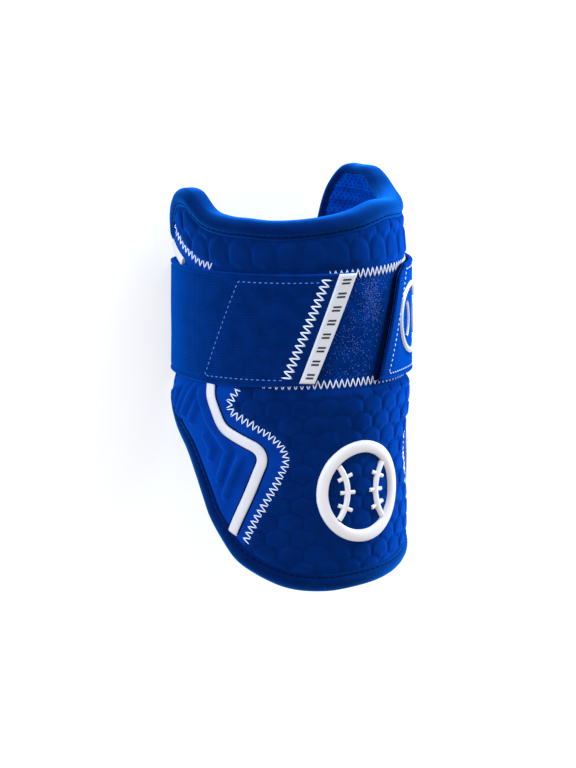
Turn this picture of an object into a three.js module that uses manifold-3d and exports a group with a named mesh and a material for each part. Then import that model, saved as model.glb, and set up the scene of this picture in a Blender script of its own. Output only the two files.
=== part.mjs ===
// Baseball elbow guard: a padded C-shaped cuff with an elastic strap, lying on the back of its strap.
// Units are millimetres, +Z is up. The guard's front faces up (+Z) and its upper end points to -X.
// Every layer is drawn flat (x = arc length round the arm, y = height along the arm, z = offset out of
// the face) and is then rolled round the arm.
import * as THREE from 'three';
import { mergeVertices } from 'three/addons/utils/BufferGeometryUtils.js';
import Module from 'manifold-3d';

const wasm = await Module();
wasm.setup();

// Driving sizes
const STRAP_BOTTOM = 95.2;     // height of the strap's lower edge above the guard's lower edge
const STRAP_WIDTH = 50.8;      // the elastic
const UPPER_HEIGHT = 38.4;     // from the strap's upper edge to the highest lobe
const FACE_RADIUS = 53;        // arm axis to the outer face of the panels
const STRAP_TOP = STRAP_BOTTOM + STRAP_WIDTH;
const LENGTH = STRAP_TOP + UPPER_HEIGHT;      // along the arm
const BEYOND = 16;             // how far a sheet runs past the guard before it is cut
const LEAN = 3.4;              // the upper end sits this far to the left and back
const BULGE = 1.2;             // of the padding just below the strap
const GAP = 0.3;               // between pieces that touch
const CLEAN = 0.25;            // cut edges are cleaned of points closer to a straight line than this

// Layers, as offsets from the outer face
const PANEL_BOTTOM = -2.0;
const SIDE_FACE = -0.6;
const PATCH_FACE = -1.15;
const SCALE_VALLEY = -0.8;
const SCALE_CREST = 0.2;
const CORE_FACE = PANEL_BOTTOM - GAP;
const CORE_BACK = -8.0;
const BINDING_BACK = -8.6;     // the binding's inner lip
const LINER_FACE = -8.9;
const LINER_VALLEY = -9.5;
const LINER_CREST = -10.3;

// Binding: a folded tape round the edge, given across the edge
const BINDING_WIDTH = 8.6;
const BINDING_WALL = 1.8;
const CORE_INSET = 2.6;
const PANEL_INSET = BINDING_WIDTH + 1.5 * GAP;

// Fish-scale relief and lining ribs
const SCALE_WIDTH = 11.6;
const SCALE_ROW = 7.4;
const SCALE_SHOULDER = [0.36, 0.62];   // share of the width, share of the row
const SCALE_PEAK = 0.2;                // share of the row, above the scale's centre
const RIB_PITCH = 8.4;
const COLUMN = SCALE_WIDTH / 2;        // the roll's facets
const HIDDEN_COLUMN = SCALE_WIDTH * 1.25;   // wider facets, for the faces between the layers

// Strap
const STRAP_THICKNESS = 1.8;
const STRAP_LOW = -0.8;                // inner face where it lies on the guard
const HOOK_THICKNESS = 1.2;
const CHORD_DEPTH = 35.5;              // middle of the strap's straight back, behind the arm axis
const CORNER_RADIUS = 8;               // middle of the strap where it turns into the straight back

// Bands
const PATCH_BOTTOM = STRAP_BOTTOM - 1.9;
const PATCH_TOP = STRAP_TOP + 1.1;
const PATCH_LEFT = -45;                // degrees
const PATCH_RIGHT = 84;

// Raised trims
const STRIPE_WIDTH = 5.1;
const STRIPE_BASE = SIDE_FACE + GAP;
const STRIPE_SIDE = 0.4;
const STRIPE_CREST = 0.8;
const RIB_WIDTH = 4.4;
const RIB_SIDE = 0.1;
const RIB_CREST = 0.7;

const degree = FACE_RADIUS * Math.PI / 180;   // arc length of one degree

// The guard's outline, anticlockwise from the middle of the lower edge, seen from the front:
// angle round the arm in degrees, and the height as a level, which is 0 at the lower edge, 1 and 2 at
// the strap's edges and 3 at the top
const outlineTable = [
  { angle: -20, level: 0 },
  { angle: 0, level: 0.014 },
  { angle: 22, level: 0.041 },
  { angle: 40, level: 0.079 },
  { angle: 52, level: 0.11 },
  { angle: 60, level: 0.136 },
  { angle: 69, level: 0.194 },
  { angle: 76, level: 0.267 },
  { angle: 84, level: 0.362 },
  { angle: 88, level: 0.436 },
  { angle: 94, level: 0.535 },
  { angle: 102, level: 0.637 },
  { angle: 113, level: 0.719 },
  { angle: 121.5, level: 0.817 },
  { angle: 126.5, level: 0.955 },
  { angle: 128, level: 1.289 },
  { angle: 128, level: 1.721 },
  { angle: 127.5, level: 2.049 },
  { angle: 124, level: 2.361 },
  { angle: 116, level: 2.741 },
  { angle: 104, level: 2.986 },
  { angle: 94, level: 3 },
  { angle: 84, level: 3 },
  { angle: 77, level: 2.928 },
  { angle: 68, level: 2.818 },
  { angle: 48, level: 2.745 },
  { angle: 21, level: 2.779 },
  { angle: 0, level: 2.702 },
  { angle: -20, level: 2.649 },
  { angle: -45, level: 2.621 },
  { angle: -59, level: 2.64 },
  { angle: -70, level: 2.649 },
  { angle: -82, level: 2.702 },
  { angle: -95, level: 2.904 },
  { angle: -106, level: 2.904 },
  { angle: -116, level: 2.75 },
  { angle: -124, level: 2.529 },
  { angle: -128, level: 2.208 },
  { angle: -128, level: 1.721 },
  { angle: -128, level: 1.289 },
  { angle: -126.5, level: 0.949 },
  { angle: -121.5, level: 0.814 },
  { angle: -113, level: 0.719 },
  { angle: -102, level: 0.635 },
  { angle: -94, level: 0.527 },
  { angle: -88, level: 0.42 },
  { angle: -84, level: 0.345 },
  { angle: -76, level: 0.242 },
  { angle: -68, level: 0.153 },
  { angle: -59, level: 0.097 },
  { angle: -40, level: 0.021 },
];

// Edge of the left side panel: below the strap it bulges forward, above it climbs to the wing's top
const sideEdgeBelow = [
  { angle: -64, level: 0.968 },
  { angle: -67, level: 0.932 },
  { angle: -68.6, level: 0.897 },
  { angle: -66.7, level: 0.86 },
  { angle: -62.5, level: 0.837 },
  { angle: -56, level: 0.804 },
  { angle: -50, level: 0.773 },
  { angle: -46, level: 0.746 },
  { angle: -42.3, level: 0.711 },
  { angle: -39.9, level: 0.666 },
  { angle: -39.5, level: 0.637 },
  { angle: -40.9, level: 0.595 },
  { angle: -48.6, level: 0.455 },
  { angle: -55.7, level: 0.339 },
  { angle: -60.2, level: 0.246 },
  { angle: -66, level: 0.114 },
];
const sideEdgeAbove = [
  { angle: -120, level: 2.496 },
  { angle: -111.5, level: 2.448 },
  { angle: -111, level: 2.361 },
  { angle: -107, level: 2.304 },
  { angle: -102.4, level: 2.227 },
  { angle: -95.7, level: 2.155 },
  { angle: -89, level: 2.083 },
  { angle: -81, level: 2.049 },
];

// Middle line of the white stripe on the left side panel, and of its short piece above the strap
const stripeTable = [
  { angle: -80.5, level: 0.978 },
  { angle: -79, level: 0.924 },
  { angle: -76, level: 0.86 },
  { angle: -73, level: 0.808 },
  { angle: -70, level: 0.781 },
  { angle: -65.2, level: 0.755 },
  { angle: -58.3, level: 0.724 },
  { angle: -54, level: 0.703 },
  { angle: -51.6, level: 0.676 },
  { angle: -51.3, level: 0.637 },
  { angle: -54, level: 0.575 },
  { angle: -58.3, level: 0.473 },
  { angle: -65.8, level: 0.323 },
];
const stripeUpperTable = [
  { angle: -120, level: 2.232 },
  { angle: -115, level: 2.164 },
  { angle: -109, level: 2.1 },
];

// Moulded ribs of the left side panel, as middle lines
const ribTables = [
  [{ angle: -118, level: 0.833 }, { angle: -112, level: 0.912 }],
  [{ angle: -114, level: 0.814 }, { angle: -105.5, level: 0.928 }],
  [{ angle: -109, level: 0.802 }, { angle: -97, level: 0.953 }],
  [{ angle: -101.5, level: 0.827 }, { angle: -91, level: 0.963 }],
  [{ angle: -95, level: 0.802 }, { angle: -89.2, level: 0.883 }],
  [{ angle: -86.6, level: 0.949 }, { angle: -83.5, level: 0.864 }, { angle: -81, level: 0.808 },
    { angle: -76, level: 0.752 }, { angle: -69.5, level: 0.674 }, { angle: -75, level: 0.537 }],
  [{ angle: -84, level: 0.732 }, { angle: -79.5, level: 0.674 }, { angle: -81, level: 0.637 }],
  [{ angle: -63.5, level: 0.637 }, { angle: -71.5, level: 0.461 }],
];

// Front motif: a ball, as a ring with two stitched seams
const EMBLEM_HEIGHT = 45.4;    // of its middle
const EMBLEM_RADIUS = 20.4;    // middle of the ring's stroke
const EMBLEM_STROKE = 5.6;
const EMBLEM_BASE = SCALE_CREST + GAP;
const EMBLEM_SIDE = 1.1;
const EMBLEM_CREST = 1.9;
const SEAM_RADIUS = 19;
const SEAM_CENTRE = 27;        // from the ball's middle
const SEAM_SPAN = 40;          // degrees to either side
const SEAM_STROKE = 2.8;
const TICKS = 3;
const TICK_LENGTH = 7.4;
const TICK_WIDTH = 1.7;

// Flap motif: a ring with two seam arcs
const FLAP_EMBLEM_ANGLE = 42;
const FLAP_EMBLEM_RADIUS = 16.5;
const FLAP_EMBLEM_STROKE = 2.4;
const FLAP_EMBLEM_HEIGHT = 0.6;

// Flat drawing
function ease(value, from, to) {
  const t = Math.min(1, Math.max(0, (value - from) / (to - from)));
  return t * t * (3 - 2 * t);
}

function heightAt(level) {
  if (level <= 1) {
    return level * STRAP_BOTTOM;
  }
  return level <= 2 ? STRAP_BOTTOM + (level - 1) * STRAP_WIDTH : STRAP_TOP + (level - 2) * UPPER_HEIGHT;
}

function place(row) {
  return [row.angle * degree, heightAt(row.level)];
}

function mirrored(points) {
  return points.map(([x, y]) => [-x, y]).reverse();
}

// A smooth closed loop through the table's points, with a point every step millimetres
function smoothLoop(table, step) {
  const points = table.map((row) => new THREE.Vector3(...place(row), 0));
  const curve = new THREE.CatmullRomCurve3(points, true, 'centripetal');
  curve.arcLengthDivisions = 1500;
  const count = Math.round(curve.getLength() / step);
  return curve.getSpacedPoints(count).slice(0, count).map((p) => [p.x, p.y]);
}

function smoothLine(table, step) {
  const points = table.map((row) => new THREE.Vector3(...place(row), 0));
  const curve = new THREE.CatmullRomCurve3(points, false, 'centripetal');
  const count = Math.max(1, Math.round(curve.getLength() / step));
  return curve.getSpacedPoints(count).map((p) => [p.x, p.y]);
}

// Inward normals of a closed anticlockwise loop
function inwardNormals(loop) {
  return loop.map((point, i) => {
    const before = loop[(i + loop.length - 1) % loop.length];
    const after = loop[(i + 1) % loop.length];
    const dx = after[0] - before[0];
    const dy = after[1] - before[1];
    const size = Math.hypot(dx, dy);
    return [-dy / size, dx / size];
  });
}

function distanceToLoop(point, loop) {
  let best = Infinity;
  loop.forEach((a, i) => {
    const b = loop[(i + 1) % loop.length];
    const ex = b[0] - a[0];
    const ey = b[1] - a[1];
    const along = ((point[0] - a[0]) * ex + (point[1] - a[1]) * ey) / (ex * ex + ey * ey);
    const t = Math.min(1, Math.max(0, along));
    best = Math.min(best, Math.hypot(point[0] - a[0] - t * ex, point[1] - a[1] - t * ey));
  });
  return best;
}

// The loop moved inward (or outward, with a negative amount), without the points that would cross over
function inset(loop, amount) {
  const normals = inwardNormals(loop);
  const moved = loop.map((p, i) => [p[0] + normals[i][0] * amount, p[1] + normals[i][1] * amount]);
  return moved.filter((p) => distanceToLoop(p, loop) > Math.abs(amount) - 0.08);
}

// Solids
function toSolid(geometry) {
  const bare = geometry.clone();
  bare.deleteAttribute('normal');
  bare.deleteAttribute('uv');
  const merged = mergeVertices(bare, 1e-4);
  return new wasm.Manifold(new wasm.Mesh({
    numProp: 3,
    vertProperties: new Float32Array(merged.attributes.position.array),
    triVerts: new Uint32Array(merged.index.array),
  }));
}

function toGeometry(solid) {
  const mesh = solid.getMesh();
  const geometry = new THREE.BufferGeometry();
  const positions = [];
  for (let i = 0; i < mesh.vertProperties.length; i += mesh.numProp) {
    positions.push(mesh.vertProperties[i], mesh.vertProperties[i + 1], mesh.vertProperties[i + 2]);
  }
  geometry.setAttribute('position', new THREE.Float32BufferAttribute(positions, 3));
  geometry.setIndex(Array.from(mesh.triVerts));
  return geometry;
}

function prism(loop, low, high) {
  const shape = new THREE.Shape(loop.map(([x, y]) => new THREE.Vector2(x, y)));
  const geometry = new THREE.ExtrudeGeometry(shape, { depth: high - low, bevelEnabled: false, steps: 1 });
  geometry.translate(0, 0, low);
  return toSolid(geometry);
}

function indexed(positions, triangles) {
  const geometry = new THREE.BufferGeometry();
  geometry.setAttribute('position', new THREE.Float32BufferAttribute(positions.flat(), 3));
  geometry.setIndex(triangles.flat());
  return geometry;
}

// A section (across, offset) carried along a flat line; open lines get end caps
function sweep(line, normals, section, closed) {
  const positions = [];
  const triangles = [];
  const count = section.length;
  line.forEach((p, i) => {
    section.forEach(([across, offset]) => {
      positions.push([p[0] + normals[i][0] * across, p[1] + normals[i][1] * across, offset]);
    });
  });
  const spans = closed ? line.length : line.length - 1;
  for (let i = 0; i < spans; i += 1) {
    const here = i * count;
    const next = ((i + 1) % line.length) * count;
    for (let j = 0; j < count; j += 1) {
      const k = (j + 1) % count;
      triangles.push([here + j, next + j, next + k], [here + j, next + k, here + k]);
    }
  }
  if (!closed) {
    const last = (line.length - 1) * count;
    for (let j = 1; j < count - 1; j += 1) {
      triangles.push([0, j, j + 1], [last, last + j + 1, last + j]);
    }
  }
  const geometry = indexed(positions, triangles);
  const solid = toSolid(geometry);
  if (solid.volume() > 0) {
    return solid;
  }
  return toSolid(indexed(positions, triangles.map(([a, b, c]) => [a, c, b])));
}

// Left-hand normals of an open line, mitred at its corners
function lineNormals(line) {
  return line.map((p, i) => {
    const before = line[Math.max(0, i - 1)];
    const after = line[Math.min(line.length - 1, i + 1)];
    const inward = [p[0] - before[0], p[1] - before[1]];
    const outward = [after[0] - p[0], after[1] - p[1]];
    const a = i === 0 ? outward : inward;
    const b = i === line.length - 1 ? inward : outward;
    const la = Math.hypot(...a);
    const lb = Math.hypot(...b);
    const dx = a[0] / la + b[0] / lb;
    const dy = a[1] / la + b[1] / lb;
    const size = Math.hypot(dx, dy);
    const mitre = Math.min(1.8, 2 / size);
    return [-dy / size * mitre, dx / size * mitre];
  });
}

// The same line with short segments
function divided(line, step) {
  const points = [line[0]];
  line.slice(1).forEach((end, i) => {
    const start = line[i];
    const count = Math.ceil(Math.hypot(end[0] - start[0], end[1] - start[1]) / step);
    for (let k = 1; k <= count; k += 1) {
      points.push([start[0] + (end[0] - start[0]) * k / count, start[1] + (end[1] - start[1]) * k / count]);
    }
  });
  return points;
}

// A raised bar with a crest along its middle
function ridge(line, width, base, side, crest) {
  const half = width / 2;
  const section = [[-half, base], [-half, side], [0, crest], [half, side], [half, base]];
  return sweep(line, lineNormals(line), section, false);
}

// Rolling
// Cuts every triangle at the given lines of x, so that the bent facets are narrow
function cutAtLines(geometry, lines) {
  const position = geometry.attributes.position;
  const index = geometry.index.array;
  const vertices = [];
  const snapped = (x) => lines.find((line) => Math.abs(x - line) < 0.02) ?? x;
  for (let i = 0; i < position.count; i += 1) {
    vertices.push([snapped(position.getX(i)), position.getY(i), position.getZ(i)]);
  }
  const triangles = [];
  const crossings = new Map();
  const crossing = (a, b, line) => {
    const [p, q] = a < b ? [a, b] : [b, a];
    const key = `${p},${q},${line.toFixed(3)}`;
    if (!crossings.has(key)) {
      const t = (line - vertices[p][0]) / (vertices[q][0] - vertices[p][0]);
      const mix = (k) => vertices[p][k] + (vertices[q][k] - vertices[p][k]) * t;
      vertices.push([line, mix(1), mix(2)]);
      crossings.set(key, vertices.length - 1);
    }
    return crossings.get(key);
  };
  const emit = (polygon) => {
    for (let i = 1; i < polygon.length - 1; i += 1) {
      triangles.push([polygon[0], polygon[i], polygon[i + 1]]);
    }
  };
  const sideOf = (vertex, line) => {
    const away = vertices[vertex][0] - line;
    return Math.abs(away) < 1e-6 ? 0 : Math.sign(away);
  };
  for (let i = 0; i < index.length; i += 3) {
    let rest = [index[i], index[i + 1], index[i + 2]];
    const low = Math.min(...rest.map((v) => vertices[v][0]));
    const high = Math.max(...rest.map((v) => vertices[v][0]));
    lines.filter((line) => line > low + 1e-6 && line < high - 1e-6).forEach((line) => {
      const left = [];
      const right = [];
      rest.forEach((v, j) => {
        const w = rest[(j + 1) % rest.length];
        const sv = sideOf(v, line);
        const sw = sideOf(w, line);
        if (sv <= 0) {
          left.push(v);
        }
        if (sv >= 0) {
          right.push(v);
        }
        if (sv * sw < 0) {
          const c = crossing(v, w, line);
          left.push(c);
          right.push(c);
        }
      });
      if (left.length > 2) {
        emit(left);
      }
      rest = right;
    });
    if (rest.length > 2) {
      emit(rest);
    }
  }
  return indexed(vertices, triangles);
}

// A profile (y, offset) drawn out along x, with an edge at every one of the lines
function profileSheet(lines, profile) {
  const positions = [];
  const triangles = [];
  const rows = profile.length;
  lines.forEach((x) => profile.forEach(([y, z]) => positions.push([x, y, z])));
  for (let i = 0; i < lines.length - 1; i += 1) {
    for (let j = 0; j < rows; j += 1) {
      const [p, q] = [i * rows + j, i * rows + (j + 1) % rows];
      triangles.push([p, q, q + rows], [p, q + rows, p + rows]);
    }
  }
  const shape = profile.map(([y, z]) => new THREE.Vector2(y, z));
  const last = (lines.length - 1) * rows;
  THREE.ShapeUtils.triangulateShape(shape, []).forEach(([p, q, r]) => {
    triangles.push([p, r, q], [last + p, last + q, last + r]);
  });
  return indexed(positions, triangles);
}

// A flat sheet that can follow the guard's bulge and lean
function gridSheet(lines, y0, y1, low, high) {
  const rows = [y0, ...bendRows.filter((y) => y > y0 + 1 && y < y1 - 1), y1];
  return profileSheet(lines, [...rows.map((y) => [y, low]), ...rows.reverse().map((y) => [y, high])]);
}

function evenLines(pitch) {
  const count = Math.ceil(150 * degree / pitch);
  return Array.from({ length: 2 * count + 1 }, (_, i) => (i - count) * pitch);
}

// From the worn position (front to -Y, upper end up) to the lying one
function lie(x, y, z) {
  return [LENGTH / 2 - z, x, CHORD_DEPTH + STRAP_THICKNESS / 2 - y];
}

// The padding bulges below the strap, and the upper end leans to the left and back
const bendRows = [STRAP_BOTTOM - 33, STRAP_BOTTOM - 7, STRAP_BOTTOM, STRAP_TOP];

function bulgeAt(y, z) {
  const [start, full, end] = bendRows;
  const along = Math.max(0, Math.min(1, (y - start) / (full - start), (end - y) / (end - full)));
  const outward = Math.max(0, Math.min(1, (z - CORE_BACK) / (CORE_FACE - CORE_BACK)));
  return BULGE * along * outward;
}

function leanAt(y) {
  return LEAN * Math.max(0, (y - STRAP_TOP) / (LENGTH - STRAP_TOP));
}

function rollPoint(x, y, z) {
  const angle = x / FACE_RADIUS;
  const radius = FACE_RADIUS + z + bulgeAt(y, z);
  const lean = leanAt(y);
  return lie(radius * Math.sin(angle) - 0.8 * lean, 0.6 * lean - radius * Math.cos(angle), y);
}

// The flat geometry cut at the lines and carried to its place by the rule, as a solid
function bent(geometry, lines, rule) {
  const cut = cutAtLines(geometry, lines);
  const position = cut.attributes.position;
  for (let i = 0; i < position.count; i += 1) {
    position.setXYZ(i, ...rule(position.getX(i), position.getY(i), position.getZ(i)));
  }
  const solid = toSolid(cut);
  if (solid.volume() > 0) {
    return solid;
  }
  const index = cut.index.array;
  for (let i = 0; i < index.length; i += 3) {
    [index[i + 1], index[i + 2]] = [index[i + 2], index[i + 1]];
  }
  return toSolid(cut);
}

const faceLines = evenLines(COLUMN);
const hiddenLines = evenLines(HIDDEN_COLUMN);

function rolled(solid) {
  return bent(toGeometry(solid), faceLines, rollPoint);
}

// For narrow bars with short segments, which need no more cuts
function rolledBar(bar) {
  return bent(toGeometry(bar), [], rollPoint);
}

function rolledSheet(y0, y1, low, high, lines = faceLines) {
  return bent(gridSheet(lines, y0, y1, low, high), [], rollPoint);
}

// A rolled cutter through all layers
function cutter(loop) {
  return bent(toGeometry(prism(loop, LINER_CREST - 3, 6)), hiddenLines, rollPoint);
}

// Pieces
const outline = smoothLoop(outlineTable, 9);
const panelLoop = inset(outline, PANEL_INSET);

function paddedShell() {
  return rolledSheet(-BEYOND, LENGTH + BEYOND, CORE_BACK, CORE_FACE, hiddenLines)
    .intersect(cutter(inset(outline, CORE_INSET)));
}

// The strap presses the binding in where it passes over it
function pressed(height, offset) {
  const [far, close] = [16, 9];
  const near = ease(height, STRAP_BOTTOM - far, STRAP_BOTTOM - close)
    * ease(-height, -STRAP_TOP - far, -STRAP_TOP - close);
  const room = STRAP_LOW - 1.5 * GAP;
  return offset > room ? offset + (room - offset) * near : offset;
}

function edgeBinding() {
  const lip = BINDING_WIDTH - 0.1;
  const back = LINER_CREST - 0.9;
  const section = [
    [lip, PANEL_BOTTOM],
    [BINDING_WIDTH * 0.66, 0.5],
    [BINDING_WIDTH * 0.26, 0.1],
    [0.1, -2.6],
    [0.1, back + 3],
    [BINDING_WIDTH * 0.26, back + 0.6],
    [BINDING_WIDTH * 0.66, back],
    [lip, BINDING_BACK],
    [BINDING_WALL, BINDING_BACK],
    [BINDING_WALL, PANEL_BOTTOM],
  ];
  const tape = toGeometry(sweep(outline, inwardNormals(outline), section, true));
  return bent(tape, [], (x, y, z) => rollPoint(x, y, pressed(y, z)));
}

// The lining: ribs run round the arm, so each rib line is one row of a grid
function liner() {
  const half = RIB_PITCH / 2;
  const count = Math.ceil(LENGTH / half) + 2;
  const profile = [];
  for (let i = -1; i <= count; i += 1) {
    profile.push([i * half, i % 2 === 0 ? LINER_CREST : LINER_VALLEY]);
  }
  profile.push([count * half, LINER_FACE], [STRAP_TOP, LINER_FACE], [-half, LINER_FACE]);
  const sheet = bent(profileSheet(hiddenLines, profile), [], rollPoint);
  return sheet.intersect(cutter(panelLoop));
}

// One relief sheet of overlapping round-topped scales
function scaleSheet() {
  const positions = [];
  const triangles = [];
  const known = new Map();
  const vertex = (x, y, z) => {
    const key = `${x.toFixed(2)},${y.toFixed(2)},${z.toFixed(2)}`;
    if (!known.has(key)) {
      known.set(key, positions.length);
      positions.push([x, y, z]);
    }
    return known.get(key);
  };
  const half = SCALE_WIDTH / 2;
  const [shoulderX, shoulderY] = [SCALE_SHOULDER[0] * SCALE_WIDTH, SCALE_SHOULDER[1] * SCALE_ROW];
  const columns = Math.ceil(128 * degree / SCALE_WIDTH);
  const rows = Math.ceil(LENGTH / SCALE_ROW) + 2;
  const edges = new Map();
  const triangle = (a, b, c) => {
    triangles.push([a, b, c]);
    [[a, b], [b, c], [c, a]].forEach(([p, q]) => {
      if (edges.has(`${q},${p}`)) {
        edges.delete(`${q},${p}`);
      } else {
        edges.set(`${p},${q}`, [p, q]);
      }
    });
  };
  for (let row = -1; row < rows; row += 1) {
    for (let column = -columns; column <= columns; column += 1) {
      const x = column * SCALE_WIDTH + (row % 2 === 0 ? 0 : half);
      const y = row * SCALE_ROW;
      const ring = [
        [half, 0], [shoulderX, shoulderY], [0, SCALE_ROW], [-shoulderX, shoulderY], [-half, 0],
        [shoulderX - half, shoulderY - SCALE_ROW], [0, -SCALE_ROW],
        [half - shoulderX, shoulderY - SCALE_ROW],
      ].map(([dx, dy]) => vertex(x + dx, y + dy, SCALE_VALLEY));
      const peak = vertex(x, y + SCALE_PEAK * SCALE_ROW, SCALE_CREST);
      ring.forEach((v, i) => triangle(peak, v, ring[(i + 1) % ring.length]));
    }
  }
  const top = positions.length;
  const boundary = [...edges.values()];
  const lower = new Map();
  positions.slice(0, top).forEach(([x, y], i) => {
    lower.set(i, positions.length);
    positions.push([x, y, PANEL_BOTTOM - 1]);
  });
  const topTriangles = [...triangles];
  topTriangles.forEach(([a, b, c]) => triangles.push([lower.get(a), lower.get(c), lower.get(b)]));
  boundary.forEach(([p, q]) => {
    triangles.push([p, lower.get(p), lower.get(q)], [p, lower.get(q), q]);
  });
  return bent(indexed(positions, triangles), [], rollPoint);
}

// The left side panel's region: everything outward of its front edges
function sideLoop() {
  const outer = -150 * degree;
  return [
    [outer, sideEdgeBelow[sideEdgeBelow.length - 1].level * STRAP_BOTTOM],
    ...sideEdgeBelow.map(place).reverse(),
    [PATCH_LEFT * degree - 0.4, PATCH_BOTTOM],
    [PATCH_LEFT * degree - 0.4, PATCH_TOP],
    [-77.5 * degree, PATCH_TOP],
    ...sideEdgeAbove.map(place).reverse(),
    [outer, heightAt(sideEdgeAbove[0].level)],
  ];
}

function grown(loop) {
  const normals = inwardNormals(loop);
  return loop.map((p, i) => [p[0] - normals[i][0] * 0.4, p[1] - normals[i][1] * 0.4]);
}

function frontPanel(low, high, scales) {
  return scales
    .intersect(rolledSheet(low, high, PANEL_BOTTOM, 3, hiddenLines))
    .intersect(cutter(panelLoop))
    .subtract(cutter(grown(sideLoop())))
    .subtract(cutter(mirrored(grown(sideLoop()))));
}

function loopPatch() {
  const ends = [[PATCH_LEFT, PATCH_BOTTOM], [PATCH_RIGHT, PATCH_BOTTOM], [PATCH_RIGHT, PATCH_TOP],
    [PATCH_LEFT, PATCH_TOP]].map(([angle, height]) => [angle * degree, height]);
  return rolledSheet(-BEYOND, LENGTH + BEYOND, PANEL_BOTTOM - 1, PATCH_FACE)
    .intersect(rolledSheet(-BEYOND, LENGTH + BEYOND, PANEL_BOTTOM, 3, hiddenLines))
    .intersect(cutter(ends));
}

// Under the strap the side panel is thinner, and the ribs stand on it below the strap
function sidePanel(side) {
  let loop = sideLoop();
  let ribs = ribTables.map((table) => table.map(place));
  if (side > 0) {
    const edge = PATCH_RIGHT * degree + 0.4;
    loop = mirrored(loop).map(([x, y]) => {
      const besidePatch = y >= PATCH_BOTTOM - 1e-6 && y <= PATCH_TOP + 1e-6;
      return besidePatch && x < edge ? [edge, y] : [x, y];
    });
    ribs = ribs.map(mirrored);
  }
  const base = rolledSheet(-BEYOND, LENGTH + BEYOND, PANEL_BOTTOM - 1, SIDE_FACE);
  const clear = rolledSheet(-BEYOND, STRAP_BOTTOM - 2.4, PANEL_BOTTOM - 1, 3);
  const dip = rolledSheet(STRAP_BOTTOM - 2.4, STRAP_TOP + 1.6, PATCH_FACE, 3);
  const bars = ribs.map((line) => {
    return rolledBar(ridge(divided(line, 7), RIB_WIDTH, SIDE_FACE - 0.3, RIB_SIDE, RIB_CREST));
  });
  return base
    .add(wasm.Manifold.union(bars).intersect(clear))
    .subtract(dip)
    .intersect(rolledSheet(-BEYOND, LENGTH + BEYOND, PANEL_BOTTOM, 3, hiddenLines))
    .intersect(cutter(loop))
    .intersect(cutter(panelLoop));
}

function stripe(table, side) {
  const line = smoothLine(table, 5.5).map(([x, y]) => [x * side, y]);
  const bar = ridge(line, STRIPE_WIDTH, STRIPE_BASE, STRIPE_SIDE, STRIPE_CREST);
  return rolledBar(bar).intersect(cutter(panelLoop));
}

// Strap pieces
// The strap's middle line across the arm: angle in degrees from the front, radius
const freeEndAngle = 5.6;              // lower corner of the free end
const cornerAngle = 25;                // where its upper corner is cut off
const freeEndTopAngle = 33;            // upper end of that cut
const CORNER_CUT = 4.6;                // height of the cut
const hookEndAngle = 76;
const restMiddle = FACE_RADIUS + STRAP_LOW + STRAP_THICKNESS / 2;
const flapMiddle = restMiddle + HOOK_THICKNESS + GAP;
const leaveAngle = 180 - Math.acos((CHORD_DEPTH - CORNER_RADIUS) / (restMiddle - CORNER_RADIUS))
  * 180 / Math.PI;

function strapRadius(angle) {
  if (angle < 0) {
    return restMiddle;
  }
  const flap = ease(-angle, -92, -hookEndAngle);
  const lift = ease(-angle, -34, -freeEndAngle) * 2.2;
  return restMiddle + (flapMiddle - restMiddle) * flap + lift;
}

function strapPath() {
  const points = [];
  const step = 5.5;
  const leftEnd = -3;
  const count = Math.round((leaveAngle + leftEnd) / step);
  for (let i = 0; i <= count; i += 1) {
    const angle = (leftEnd - (leaveAngle + leftEnd) * i / count) * Math.PI / 180;
    const radius = strapRadius(angle * 180 / Math.PI);
    points.push([radius * Math.sin(angle), -radius * Math.cos(angle)]);
  }
  const corner = (side) => {
    const away = (restMiddle - CORNER_RADIUS) * Math.sin(leaveAngle * Math.PI / 180);
    const centre = [side * away, CHORD_DEPTH - CORNER_RADIUS];
    const arc = [];
    const turns = 6;
    for (let i = 1; i <= turns; i += 1) {
      const angle = (leaveAngle + (180 - leaveAngle) * i / turns) * Math.PI / 180;
      arc.push([centre[0] + side * CORNER_RADIUS * Math.sin(angle),
        centre[1] - CORNER_RADIUS * Math.cos(angle)]);
    }
    return arc;
  };
  points.push(...corner(-1));
  const right = corner(1).reverse();
  points.push(...right);
  const rightCount = Math.round((leaveAngle - freeEndAngle) / step);
  for (let i = 0; i <= rightCount; i += 1) {
    const angle = (leaveAngle - (leaveAngle - freeEndAngle) * i / rightCount) * Math.PI / 180;
    const radius = strapRadius(angle * 180 / Math.PI);
    points.push([radius * Math.sin(angle), -radius * Math.cos(angle)]);
  }
  return points;
}

const path = strapPath();
const pathLengths = path.reduce((sums, p, i) => {
  const before = i === 0 ? p : path[i - 1];
  return [...sums, (sums[i - 1] ?? 0) + Math.hypot(p[0] - before[0], p[1] - before[1])];
}, []);
const pathNormals = lineNormals(path);

// The distance along the strap's middle line at a given angle, from its free end or its sewn end
function pathAt(angle, side) {
  const wanted = angle * Math.PI / 180;
  let best = 0;
  let error = Infinity;
  path.forEach((p, i) => {
    if (i === 0 || Math.sign(p[0] || side) !== side) {
      return;
    }
    const q = path[i - 1];
    for (let k = 0; k <= 10; k += 1) {
      const t = k / 10;
      const x = q[0] + (p[0] - q[0]) * t;
      const y = q[1] + (p[1] - q[1]) * t;
      const miss = Math.abs(Math.atan2(x, -y) - wanted);
      if (miss < error) {
        error = miss;
        best = pathLengths[i - 1] + (pathLengths[i] - pathLengths[i - 1]) * t;
      }
    }
  });
  return best;
}

// Plus or minus one, so that a positive offset points out of the strap
const outward = Math.sign(pathNormals[4][0] * path[4][0] + pathNormals[4][1] * path[4][1]);

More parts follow.
